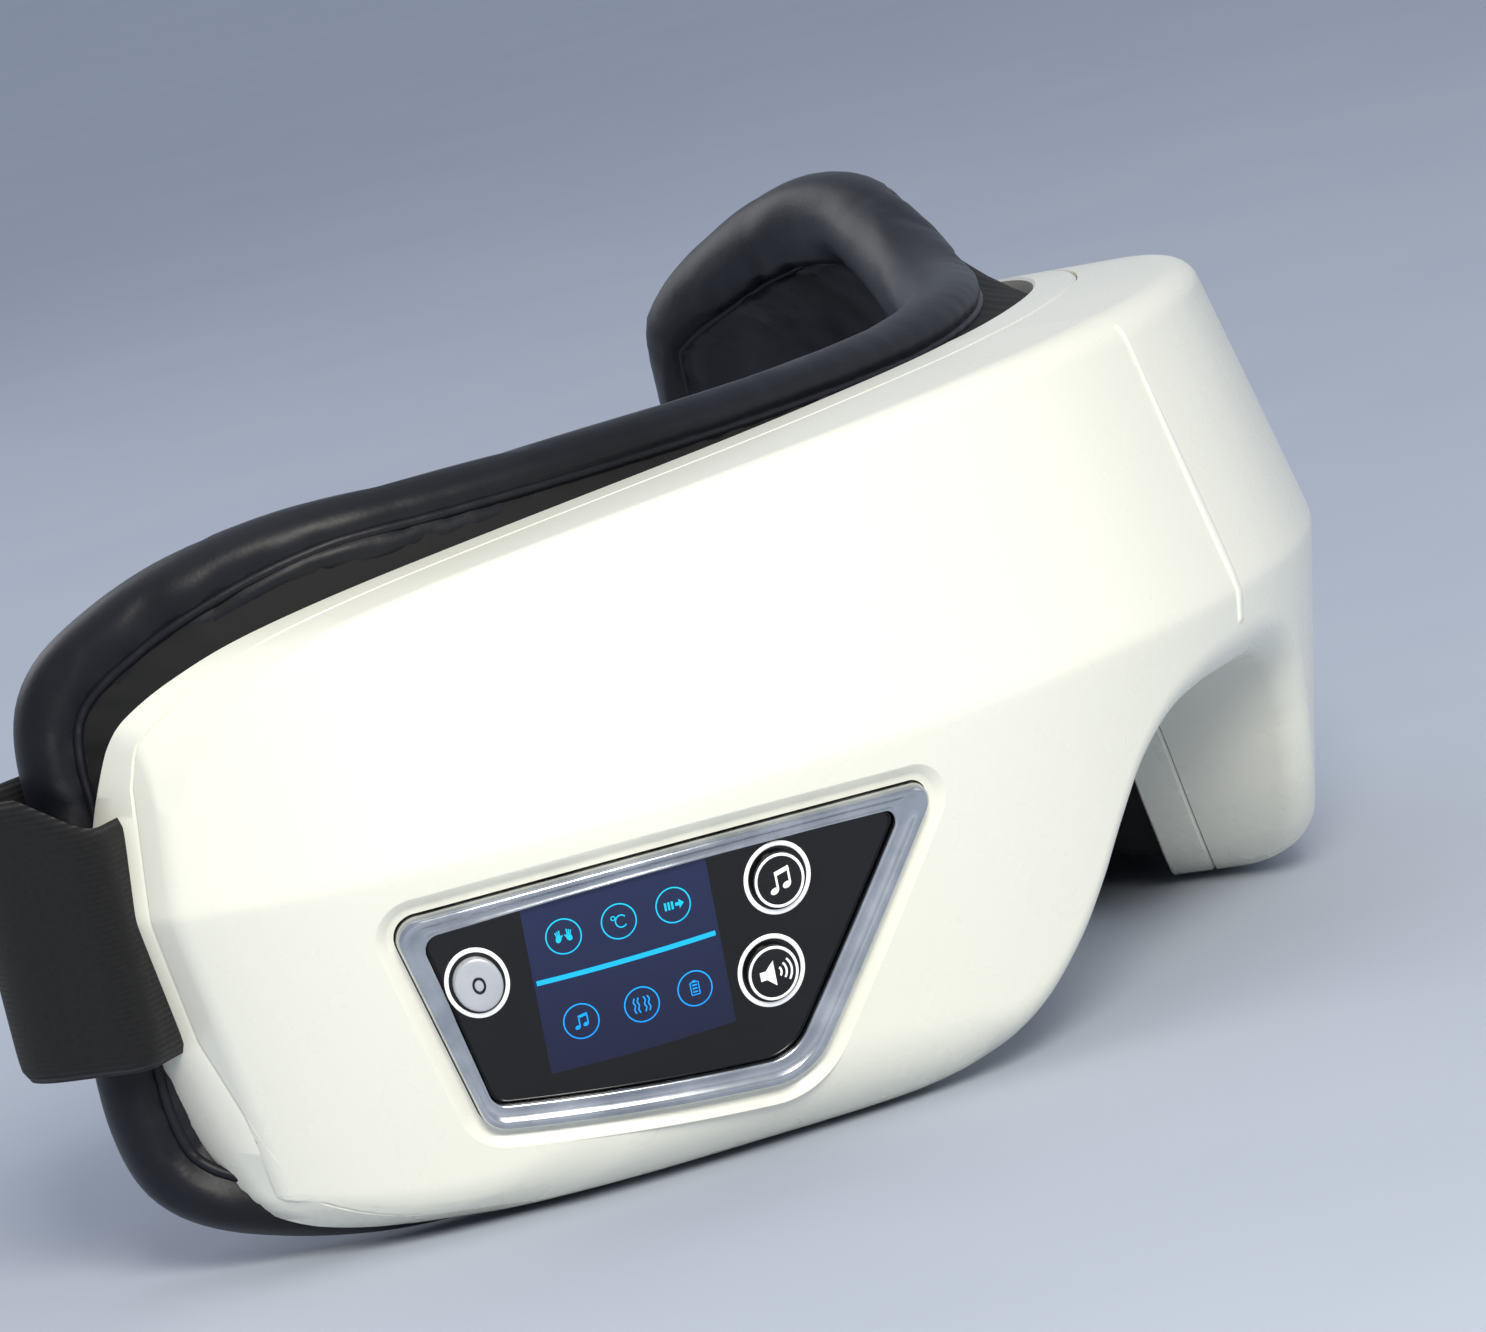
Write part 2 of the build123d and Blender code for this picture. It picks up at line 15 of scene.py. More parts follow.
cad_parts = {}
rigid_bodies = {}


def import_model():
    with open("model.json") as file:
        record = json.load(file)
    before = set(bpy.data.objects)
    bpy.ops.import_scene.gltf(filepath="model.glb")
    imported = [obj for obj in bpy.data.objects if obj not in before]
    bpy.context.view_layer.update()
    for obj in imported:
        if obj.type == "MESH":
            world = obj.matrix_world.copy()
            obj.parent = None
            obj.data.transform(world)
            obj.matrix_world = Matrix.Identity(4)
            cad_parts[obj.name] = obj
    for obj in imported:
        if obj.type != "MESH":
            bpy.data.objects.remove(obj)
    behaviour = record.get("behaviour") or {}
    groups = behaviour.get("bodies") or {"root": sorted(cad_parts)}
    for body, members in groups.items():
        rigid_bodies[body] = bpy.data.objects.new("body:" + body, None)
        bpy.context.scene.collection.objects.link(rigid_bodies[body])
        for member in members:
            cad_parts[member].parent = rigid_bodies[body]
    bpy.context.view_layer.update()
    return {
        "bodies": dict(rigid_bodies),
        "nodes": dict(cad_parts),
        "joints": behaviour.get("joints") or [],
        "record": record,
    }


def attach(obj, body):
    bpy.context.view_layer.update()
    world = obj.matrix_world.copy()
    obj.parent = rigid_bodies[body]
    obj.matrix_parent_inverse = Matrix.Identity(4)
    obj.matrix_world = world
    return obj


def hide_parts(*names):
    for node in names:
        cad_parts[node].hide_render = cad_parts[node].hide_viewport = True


LOG = logging.getLogger("eye_massager_mask")
MM = 0.001  # metres in a millimetre
DATUM = np.array([0.0, 10.7, 0.0])  # the ridge's own datum, seen from the frame's origin, mm
MASK_BODY = "mask"
SEED = 7  # first seed of the gathers along the seams


# ------------------------------------------------------------------ small helpers
def linear(hex_colour: str) -> tuple[float, float, float, float]:
    """Turns an sRGB hex colour into linear RGBA.

    Args:
        hex_colour: six hex digits, such as "F0F0E4".

    Returns:
        Linear red, green, blue and an alpha of 1.
    """
    parts = [int(hex_colour[i:i + 2], 16) / 255 for i in (0, 2, 4)]
    turned = [c / 12.92 if c <= 0.04045 else ((c + 0.055) / 1.055) ** 2.4 for c in parts]
    return (*turned, 1.0)


def mesh_piece(name: str, points: np.ndarray, faces: Iterable[Sequence[int]],
               material: bpy.types.Material, body: str = MASK_BODY,
               smooth: bool = True) -> bpy.types.Object:
    """Makes a mesh object from millimetre points and rides it on a body.

    Args:
        name: the piece's name.
        points: n by 3 array in millimetres, y measured from the ridge's own datum.
        faces: vertex index lists.
        material: its one finish.
        body: the CAD body it moves with.
        smooth: whether faces shade smooth.

    Returns:
        The new object.
    """
    mesh = bpy.data.meshes.new(name)
    placed = (np.asarray(points, float) - DATUM) * MM
    mesh.from_pydata(placed.tolist(), [], [list(f) for f in faces])
    mesh.validate()
    mesh.polygons.foreach_set("use_smooth", [smooth] * len(mesh.polygons))
    mesh.materials.append(material)
    piece = bpy.data.objects.new(name, mesh)
    bpy.context.scene.collection.objects.link(piece)
    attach(piece, body)
    LOG.info("piece %s: %d faces on %s", name, len(mesh.polygons), body)
    return piece


def grid_faces(rows: int, columns: int, closed_rows: bool = False,
               closed_columns: bool = False, flip: bool = False) -> list[tuple[int, ...]]:
    """Quads of a rows by columns grid of vertices stored row by row.

    Args:
        rows: number of vertex rows.
        columns: number of vertices in a row.
        closed_rows: joins the last row to the first.
        closed_columns: joins the last column to the first.
        flip: turns the faces over.

    Returns:
        Quad index tuples.
    """
    quads = []
    for i in range(rows if closed_rows else rows - 1):
        for j in range(columns if closed_columns else columns - 1):
            k, m = (i + 1) % rows, (j + 1) % columns
            quad = (i * columns + j, i * columns + m, k * columns + m, k * columns + j)
            quads.append(quad[::-1] if flip else quad)
    return quads


def smooth_path(points: Sequence[Sequence[float]], each: int) -> np.ndarray:
    """Samples a Catmull-Rom curve through a few points, all their columns together.

    Args:
        points: the points the curve goes through.
        each: samples in every span.

    Returns:
        Sampled points, the last one included.
    """
    p = np.asarray(points, float)
    p = np.vstack([2 * p[0] - p[1], p, 2 * p[-1] - p[-2]])
    t = np.linspace(0, 1, each, endpoint=False)[:, None]
    spans = []
    for a, b, c, d in zip(p[:-3], p[1:-2], p[2:-1], p[3:]):
        spans.append(0.5 * (2 * b + (c - a) * t + (2 * a - 5 * b + 4 * c - d) * t ** 2
                            + (3 * b - a - 3 * c + d) * t ** 3))
    return np.vstack([*spans, p[-2]])


def resample(path: np.ndarray, count: int) -> np.ndarray:
    """Spreads count points evenly along a path.

    Args:
        path: points of the path.
        count: how many points to return.

    Returns:
        Evenly spaced points with the path's own ends.
    """
    run = np.r_[0, np.cumsum(np.linalg.norm(np.diff(path, axis=0), axis=1))]
    want = np.linspace(0, run[-1], count)
    return np.stack([np.interp(want, run, path[:, k]) for k in range(path.shape[1])], axis=1)


def shade_by_angle(piece: bpy.types.Object, degrees: float) -> None:
    """Keeps edges sharper than an angle crisp and shades the rest smooth.

    Args:
        piece: the piece to change.
        degrees: the sharpest angle that still shades smooth.
    """
    bpy.context.view_layer.objects.active = piece
    piece.select_set(True)
    bpy.ops.object.shade_smooth_by_angle(angle=math.radians(degrees))
    piece.select_set(False)
    bake_modifiers(piece)


def face_out(piece: bpy.types.Object) -> None:
    """Makes a piece's faces point out of it.

    Args:
        piece: the piece to change.
    """
    bm = bmesh.new()
    bm.from_mesh(piece.data)
    bmesh.ops.recalc_face_normals(bm, faces=bm.faces)
    bm.to_mesh(piece.data)
    bm.free()


def bake_modifiers(piece: bpy.types.Object) -> None:
    """Applies every modifier of a piece to its mesh.

    Args:
        piece: the piece to change.
    """
    graph = bpy.context.evaluated_depsgraph_get()
    done = bpy.data.meshes.new_from_object(piece.evaluated_get(graph))
    piece.modifiers.clear()
    piece.data = done


# ------------------------------------------------------------------ finishes
class Tree:
    """A new material's node tree, filled one node at a time."""

    def __init__(self, name: str) -> None:
        """Starts a material called name with its shader and output in place.

        Args:
            name: the material's name.
        """
        self.material = bpy.data.materials.new(name)
        self.material.use_nodes = True
        self.nodes = self.material.node_tree.nodes
        self.links = self.material.node_tree.links
        self.shader = self.nodes["Principled BSDF"]

    def node(self, kind: str, settings: dict | None = None,
             inputs: dict | None = None) -> bpy.types.Node:
        """Adds a node with its settings and links.

        Args:
            kind: the node's type name, such as "ShaderNodeBump".
            settings: attributes set on the node.
            inputs: socket name or number to a value, or to an output socket to link.

        Returns:
            The new node.
        """
        made = self.nodes.new(kind)
        for key, value in (settings or {}).items():
            setattr(made, key, value)
        for key, value in (inputs or {}).items():
            self.feed(made.inputs[key], value)
        return made

    def feed(self, socket: bpy.types.NodeSocket, value: object) -> None:
        """Links value to socket if it is an output socket, and sets it otherwise."""
        if isinstance(value, bpy.types.NodeSocket):
            self.links.new(value, socket)
        else:
            socket.default_value = value

    def surface(self, **sockets: object) -> None:
        """Sets or links the shader's sockets, named with underscores for spaces."""
        for key, value in sockets.items():
            self.feed(self.shader.inputs[key.replace("_", " ")], value)

    def place(self, scale: float) -> bpy.types.NodeSocket:
        """Object coordinates, in metres, multiplied by scale."""
        coords = self.node("ShaderNodeTexCoord").outputs["Object"]
        return self.node("ShaderNodeVectorMath", {"operation": "SCALE"},
                         {0: coords, "Scale": scale}).outputs[0]

    def noise(self, size_mm: float, detail: float = 3.0,
              rough: float = 0.55) -> bpy.types.NodeSocket:
        """Noise whose lumps are about size_mm across, as a factor socket."""
        return self.node("ShaderNodeTexNoise", {},
                         {"Vector": self.place(1 / (size_mm * MM)), "Scale": 1.0,
                          "Detail": detail, "Roughness": rough}).outputs["Fac"]

    def ramp(self, factor: bpy.types.NodeSocket,
             stops: Sequence[tuple[float, str]]) -> bpy.types.NodeSocket:
        """A colour ramp of hex colours at the given positions.

        Args:
            factor: what the ramp reads.
            stops: positions with their hex colours.

        Returns:
            The ramp's colour socket.
        """
        made = self.node("ShaderNodeValToRGB", {}, {"Fac": factor})
        while len(made.color_ramp.elements) < len(stops):
            made.color_ramp.elements.new(0.5)
        for element, (place, colour) in zip(made.color_ramp.elements, stops):
            element.position = place
            element.color = linear(colour)
        return made.outputs["Color"]

    def span(self, factor: bpy.types.NodeSocket, low: float, high: float) -> bpy.types.NodeSocket:
        """Maps a 0 to 1 factor onto low to high."""
        return self.node("ShaderNodeMapRange", {},
                         {"Value": factor, "To Min": low, "To Max": high}).outputs[0]

    def bump(self, height: bpy.types.NodeSocket, depth_mm: float,
             strength: float = 1.0) -> bpy.types.NodeSocket:
        """A bump normal whose height of 1 stands depth_mm proud."""
        return self.node("ShaderNodeBump", {},
                         {"Height": height, "Distance": depth_mm * MM,
                          "Strength": strength}).outputs["Normal"]


@dataclass(frozen=True)
class MouldedAbs:
    """ABS moulded in a polished tool: ivory, dense, with a soft wide highlight."""

    name: str = "abs_moulded_ivory"
    body: str = "F2F1E4"
    deep: str = "EFEEE0"
    roughness: float = 0.27
    ior: float = 1.53

    def build(self) -> bpy.types.Material:
        """Makes the material: faint flow shading and the micro ripple of a polished mould.

        Returns:
            The new material.
        """
        t = Tree(self.name)
        flow = t.noise(60.0, 1.0)
        ripple = t.noise(1.1, 2.0)
        t.surface(Base_Color=t.ramp(flow, [(0.3, self.deep), (0.7, self.body)]),
                  Roughness=t.span(t.noise(9.0, 3.0), self.roughness - 0.01, self.roughness + 0.02),
                  IOR=self.ior, Normal=t.bump(ripple, 0.001, 0.1))
        t.shader.inputs["Coat Weight"].default_value = 0.12
        t.shader.inputs["Coat Roughness"].default_value = 0.12
        return t.material


@dataclass(frozen=True)
class PlatedTrim:
    """Chrome plate over a vapour-blasted moulding: silver, satin, bright on its edges."""

    name: str = "chrome_plate_satin"
    light: str = "D6D8DC"
    dark: str = "AEB2B8"
    roughness: float = 0.2

    def build(self) -> bpy.types.Material:
        """Makes the material: plated metal whose satin varies a little along the band.

        Returns:
            The new material.
        """
        t = Tree(self.name)
        cloud = t.noise(6.0, 3.0)
        grit = t.noise(0.22, 1.0)
        t.surface(Base_Color=t.ramp(cloud, [(0.3, self.dark), (0.7, self.light)]),
                  Roughness=t.span(cloud, self.roughness - 0.05, self.roughness + 0.08),
                  Metallic=1.0, Normal=t.bump(grit, 0.004, 0.5))
        return t.material


@dataclass(frozen=True)
class PrintedAcrylic:
    """Acrylic window printed black from behind: deep black under a polished face."""

    name: str = "acrylic_backprinted_black"
    ink: str = "060607"
    roughness: float = 0.07
    ior: float = 1.49

    def build(self) -> bpy.types.Material:
        """Makes the material: near-black with the faint wave of a moulded sheet.

        Returns:
            The new material.
        """
        t = Tree(self.name)
        wave = t.noise(14.0, 1.0)
        t.surface(Base_Color=t.ramp(wave, [(0.2, self.ink), (0.9, "0D0D10")]),
                  Roughness=t.span(t.noise(3.0, 3.0), self.roughness, self.roughness + 0.05),
                  IOR=self.ior, Normal=t.bump(wave, 0.02, 0.3))
        return t.material


@dataclass(frozen=True)
class LitPrint:
    """Ink or a lit display segment: its colour runs up a height ramp and also glows; the display's
    glow is its own backlight, the ink's glow is painted light.
    """

    name: str
    low: str
    high: str
    power: float
    low_z: float = 0.015
    high_z: float = 0.04

    def build(self) -> bpy.types.Material:
        """Makes the material: a colour ramp up the object that also shines a little; on ink that
        shine is painted light.

        Returns:
            The new material.
        """
        t = Tree(self.name)
        z = t.node("ShaderNodeSeparateXYZ", {}, {0: t.place(1.0)}).outputs["Z"]
        level = t.node("ShaderNodeMapRange", {}, {"Value": z, "From Min": self.low_z,
                                                  "From Max": self.high_z}).outputs[0]
        tint = t.ramp(level, [(0.0, self.low), (1.0, self.high)])
        t.surface(Base_Color=tint, Emission_Color=tint, Roughness=0.35)
        t.shader.inputs["Emission Strength"].default_value = self.power
        return t.material


@dataclass(frozen=True)
class CoatedLeather:
    """Polyurethane-coated leather: charcoal with a cool sheen, fine pebble grain and creases."""

    name: str = "leather_pu_coated"
    body: str = "0B0C11"
    worn: str = "15161F"
    roughness: float = 0.42
    grain_mm: float = 0.9
    crease_mm: float = 7.0

    def build(self) -> bpy.types.Material:
        """Makes the material: pebble grain, drawn-in creases and a lighter worn tone in random
        patches.

        Returns:
            The new material.
        """
        t = Tree(self.name)
        pebble = t.node("ShaderNodeTexVoronoi", {"feature": "DISTANCE_TO_EDGE"},
                        {"Vector": t.place(1 / (self.grain_mm * MM)), "Scale": 1.0}).outputs[0]
        crease = t.noise(self.crease_mm, 5.0, 0.6)
        cloud = t.noise(16.0, 3.0)
        first = t.node("ShaderNodeBump", {}, {"Height": crease, "Distance": 0.35 * MM,
                                              "Strength": 0.35}).outputs["Normal"]
        grain = t.node("ShaderNodeBump", {}, {"Height": pebble, "Distance": 0.05 * MM,
                                              "Strength": 0.35, "Normal": first}).outputs["Normal"]
        t.surface(Base_Color=t.ramp(cloud, [(0.25, self.body), (0.85, self.worn)]),
                  Roughness=t.span(cloud, self.roughness - 0.06, self.roughness + 0.1),
                  IOR=1.5, Normal=grain)
        t.shader.inputs["Specular IOR Level"].default_value = 0.3
        t.shader.inputs["Sheen Weight"].default_value = 0.05
        t.shader.inputs["Sheen Tint"].default_value = linear("8C93B8")
        return t.material


@dataclass(frozen=True)
class WovenElastic:
    """Woven elastic: matt black ribs across the band with a brushed, slightly fuzzy face."""

    name: str = "elastic_woven_black"
    thread: str = "08080A"
    fuzz: str = "151517"
    rib_mm: float = 1.1

    def build(self) -> bpy.types.Material:
        """Makes the material: ribs one thread apart, along the band's height, and loose fuzz.

        Returns:
            The new material.
        """
        t = Tree(self.name)
        ribs = t.node("ShaderNodeTexWave", {"wave_type": "BANDS", "bands_direction": "Z"},
                      {"Vector": t.place(1 / (self.rib_mm * MM)), "Scale": 0.5,
                       "Distortion": 0.8, "Detail": 1.0}).outputs["Fac"]
        fluff = t.noise(0.8, 4.0, 0.7)
        weave = t.node("ShaderNodeBump", {}, {"Height": ribs, "Distance": 0.16 * MM,
                                              "Strength": 0.6}).outputs["Normal"]
        normal = t.node("ShaderNodeBump", {}, {"Height": fluff, "Distance": 0.15 * MM,
                                               "Strength": 0.5, "Normal": weave}).outputs["Normal"]
        t.surface(Base_Color=t.ramp(fluff, [(0.3, self.thread), (0.8, self.fuzz)]),
                  Roughness=0.92, IOR=1.45, Normal=normal)
        t.shader.inputs["Sheen Weight"].default_value = 0.08
        return t.material


@dataclass(frozen=True)
class PlainMoulding:
    """A small moulded, plated or drawn part: one colour with a fine surface grit."""

    name: str
    colour: str
    roughness: float = 0.45
    metallic: float = 0.0
    grit_mm: float = 0.5

    def build(self) -> bpy.types.Material:
        """Makes the material: a little colour drift and a grit bump at its own scale.

        Returns:
            The new material.
        """
        t = Tree(self.name)
        dark = "".join(f"{max(0, int(self.colour[i:i + 2], 16) - 10):02X}" for i in (0, 2, 4))
        cloud = t.noise(4.0, 3.0)
        t.surface(Base_Color=t.ramp(cloud, [(0.3, dark), (0.7, self.colour)]),
                  Roughness=t.span(cloud, self.roughness - 0.05, self.roughness + 0.07),
                  Metallic=self.metallic, Normal=t.bump(t.noise(self.grit_mm, 2.0), 0.02, 0.4))
        return t.material


# ------------------------------------------------------------------ the mask's skin
@dataclass
class Skin:
    """The mask's outer form as a smooth implicit surface, in millimetres.

    A raked, ridged front that follows the brow in plan is rounded into walls that run straight
    back from the front-view outline.
    """

    # plan of the ridge: half the width, its heights, and the pull of its two curve handles
    half_width: float = 108.0
    crease_z: float = 45.0
    brow_y: float = -48.0
    temple_y: float = 42.7
    brow_handle: float = 64.0
    temple_handle: float = 35.6
    # lean of the faces above and below the ridge, and how soft the ridge itself is
    rake_up: float = math.tan(math.radians(12.5))
    rake_down: float = math.tan(math.radians(12.1))
    ridge_soft: float = 0.7
    # rear edges of the shell and of the rim behind it, the wall and the temples' draw
    parting: float = 24.5
    parting_temple_y: float = 45.5
    rim: float = 31.0
    rim_temple_y: float = 55.0
    wall: float = 2.2
    draw_in: float = math.radians(17)
    temple_soft: float = 7.0
    # front-view outline, right half: x, z and the rounding into the wall
    top: tuple = ((0, 81, 4.6), (30, 80.6, 3.6), (60, 79.2, 3.2), (80, 77.1, 3.4), (92, 74.4, 4.2),
                  (98.2, 71, 5.0), (101.8, 66.8, 5.0), (103.9, 62, 4.5), (105.4, 57, 4.0),
                  (107.6, 52, 4.0), (111.5, 47.5, 4.0), (118, 44.5, 4.0))
    side: tuple = (118, 43.2, 4.0)
    foot: tuple = ((118, 42, 4), (110.5, 33, 5), (106.2, 25.5, 6.5), (103.6, 19.5, 8),
                   (102, 14.5, 9), (100.5, 8.8, 11), (97.2, 4.7, 12.5), (92.6, 2.0, 13.5),
                   (86.5, 0.6, 14), (80, 0, 14), (65, 0, 14), (50, 0.1, 11), (44, 1.7, 7),
                   (38.5, 5.4, 4.5), (33, 11.7, 3.6), (29, 18, 3.4), (25.5, 24.2, 3.6),
                   (21, 30, 4.4), (15, 33.6, 5.6), (7.5, 35, 6.6), (0, 35.2, 7.0))
    ridge: np.ndarray = field(init=False)
    loop: np.ndarray = field(init=False)

    def __post_init__(self) -> None:
        """Samples the ridge's plan curve and the outline once."""
        t = np.linspace(0, 1, 241)[:, None]
        p = np.array([(0, self.brow_y), (self.brow_handle, self.brow_y),
                      (self.half_width, self.temple_y - self.temple_handle),
                      (self.half_width, self.temple_y)])
        curve = ((1 - t) ** 3 * p[0] + 3 * t * (1 - t) ** 2 * p[1] + 3 * t * t * (1 - t) * p[2]
                 + t ** 3 * p[3])
        self.ridge = resample(curve, 241)
        top = smooth_path(self.top, 12)
        foot = smooth_path(self.foot, 12)
        right = np.vstack([top, self.side, foot])
        left = right[::-1][1:-1] * np.array([-1, 1, 1])
        self.loop = np.vstack([right, left])

    def ridge_y(self, x: np.ndarray) -> np.ndarray:
        """Plan y of the ridge at x, straight back beyond its end."""
        return np.interp(np.abs(x), self.ridge[:, 0], self.ridge[:, 1])

    def parting_y(self, x: np.ndarray) -> np.ndarray:
        """Rear edge of the front shell at x."""
        return np.minimum(self.ridge_y(x) + self.parting, self.parting_temple_y)

    def rim_y(self, x: np.ndarray, z: np.ndarray) -> np.ndarray:
        """Rear edge of the rear frame's rim at x and z, a little deeper at its lower corners."""
        low = np.clip((40 - z) / 22, 0, 1) * np.clip((np.abs(x) - 84) / 12, 0, 1)
        return np.minimum(self.ridge_y(x) + self.rim + 5.0 * low, self.rim_temple_y)

    def setback(self, z: np.ndarray) -> tuple[np.ndarray, np.ndarray]:
        """How far the front leans back at height z, and its slope.

        Args:
            z: heights.

        Returns:
            Set-backs and slopes.
        """
        h = z - self.crease_z
        rake = np.where(h > 0, self.rake_up, self.rake_down)
        size = np.sqrt(h * h + self.ridge_soft ** 2)
        return rake * (size - self.ridge_soft), rake * h / size

    def front(self, p: np.ndarray) -> tuple[np.ndarray, np.ndarray]:
        """Signed distance from the raked front, and its gradient.

        Args:
            p: n by 3 points.

        Returns:
            Distances, positive outside, and n by 3 gradients.
        """
        q = np.stack([np.abs(p[:, 0]), p[:, 1]], axis=1)
        line = np.vstack([self.ridge, [self.half_width, 160.0]])
        nearest = np.argmin(((q[:, None, :] - self.ridge[None]) ** 2).sum(2), axis=1)
        best = np.full(len(p), 1e9)
        normal = np.zeros((len(p), 2))
        signed = np.zeros(len(p))
        for step in (-1, 0):
            i = np.clip(nearest + step, 0, len(line) - 2)
            a, d = line[i], line[i + 1] - line[i]
            t = np.clip(((q - a) * d).sum(1) / (d * d).sum(1), 0, 1)
            gap = q - (a + d * t[:, None])
            far = np.linalg.norm(gap, axis=1)
            unit = d / np.linalg.norm(d, axis=1)[:, None]
            out = np.stack([unit[:, 1], -unit[:, 0]], axis=1)
            side = (gap * out).sum(1)
            better = far < best - 1e-9
            best = np.where(better, far, best)
            signed = np.where(better, np.sign(side) * far, signed)
            turn = np.clip(nearest + np.where(t > 0.5, step + 1, step), 0, len(line) - 2)
            end = len(line) - 1
            ahead = line[np.clip(turn + 1, 0, end)] - line[np.clip(turn - 1, 0, end)]
            ahead /= np.linalg.norm(ahead, axis=1)[:, None]
            turned = np.stack([ahead[:, 1], -ahead[:, 0]], axis=1)
            normal = np.where(better[:, None], turned, normal)
        lean, slope = self.setback(p[:, 2])
        scale = 1 / np.sqrt(1 + slope ** 2)
        value = (signed + lean) * scale
        sign = np.where(p[:, 0] < 0, -1.0, 1.0)
        grad = np.stack([normal[:, 0] * sign, normal[:, 1], slope], axis=1) * scale[:, None]
        return value, grad

    def walls(self, p: np.ndarray) -> tuple[np.ndarray, np.ndarray, np.ndarray]:
        """Signed distance from the outline's prism, its gradient and the local rounding.

        Args:
            p: n by 3 points.

        Returns:
            Signed distances, unit gradients and rounding radii.
        """
        q = p[:, [0, 2]]
        a = self.loop[:, :2]
        b = np.roll(a, -1, axis=0)
        d = b - a
        t = np.clip(((q[:, None] - a) * d).sum(2) / (d * d).sum(1), 0, 1)
        gap = q[:, None] - (a + d * t[..., None])
        far = (gap ** 2).sum(2)
        i = far.argmin(1)
        n = np.arange(len(p))
        gap, t = gap[n, i], t[n, i]
        far = np.sqrt(far[n, i])
        unit = d[i] / np.linalg.norm(d[i], axis=1)[:, None]
        out = np.stack([-unit[:, 1], unit[:, 0]], axis=1)
        side = np.sign((gap * out).sum(1))
        side[side == 0] = 1.0
        grad2 = np.where(far[:, None] > 1e-6, gap * (side / np.maximum(far, 1e-6))[:, None], out)
        radius = self.loop[i, 2] * (1 - t) + np.roll(self.loop[:, 2], -1)[i] * t
        grad = np.stack([grad2[:, 0], np.zeros(len(p)), grad2[:, 1]], axis=1)
        return side * far, grad, radius

    def temple(self, p: np.ndarray) -> tuple[np.ndarray, np.ndarray]:
        """Signed distance, and gradient, of the temple walls, which draw in to the rear.

        Args:
            p: n by 3 points.

        Returns:
            Signed distances and unit gradients.
        """
        lean, slope = self.setback(p[:, 2])
        c, s = math.cos(self.draw_in), math.sin(self.draw_in)
        scale = 1 / np.sqrt(1 + (c * slope) ** 2)
        value = ((np.abs(p[:, 0]) - self.half_width + lean) * c
                 + (p[:, 1] - self.temple_y + 1.5) * s) * scale
        sign = np.where(p[:, 0] < 0, -1.0, 1.0)
        grad = np.stack([c * sign, np.full(len(p), s), c * slope], axis=1) * scale[:, None]
        return value, grad

    @staticmethod
    def joined(a: np.ndarray, ga: np.ndarray, b: np.ndarray, gb: np.ndarray,
               r: np.ndarray | float) -> tuple[np.ndarray, np.ndarray]:
        """Two surfaces' common inside, its edge rounded to radius r whatever their angle.

        Args:
            a: signed distances from the first surface.
            ga: its unit gradients.
            b: signed distances from the second surface.
            gb: its unit gradients.
            r: rounding radius.

        Returns:
            Signed distances and unit gradients of the rounded form.
        """
        c = np.clip((ga * gb).sum(1), -0.95, 0.9995)
        u, v = a + r, b + r
        wu, wv = u - c * v, v - c * u
        edge = (wu > 0) & (wv > 0) & (u + v > 0)
        size = np.sqrt(np.maximum(u * u + v * v - 2 * c * u * v, 1e-12) / (1 - c * c))
        f = np.where(edge, size, np.maximum(u, v)) - r
        wu = np.where(edge, wu, (u >= v) * 1.0)
        wv = np.where(edge, wv, (u < v) * 1.0)
        g = ga * wu[:, None] + gb * wv[:, None]
        return f, g / np.linalg.norm(g, axis=1)[:, None]

    def value(self, p: np.ndarray) -> tuple[np.ndarray, np.ndarray]:
        """The rounded form's signed value and its unit gradient at points p.

        Args:
            p: n by 3 points.

        Returns:
            Signed distances and unit gradients.
        """
        a, ga = self.joined(*self.front(p), *self.temple(p), self.temple_soft)
        b, gb, r = self.walls(p)
        return self.joined(a, ga, b, gb, r)

    def settle(self, p: np.ndarray, keep_y: np.ndarray | None = None,
               rounds: int = 9) -> np.ndarray:
        """Moves points onto the rounded form.

        Args:
            p: n by 3 points near it.
            keep_y: mask of points that keep their y.
            rounds: how many steps to take.

        Returns:
            The moved points.
        """
        p = p.copy()
        for _ in range(rounds):
            f, g = self.value(p)
            if keep_y is not None:
                g = g.copy()
                g[keep_y, 1] = 0
                g /= np.maximum(np.linalg.norm(g, axis=1), 1e-6)[:, None]
            p -= (f * 0.97)[:, None] * g
        return p

    def onto_front(self, origin: np.ndarray, along: np.ndarray,
                   lift: float | np.ndarray) -> np.ndarray:
        """Slides points along one direction until they stand lift above the raked front.

        Args:
            origin: n by 3 points.
            along: unit direction to slide in.
            lift: height above the skin.

        Returns:
            The moved points.
        """
        p = origin.copy()
        for _ in range(8):
            f, g = self.front(p)
            p += ((lift - f) / (g @ along))[:, None] * along
        return p


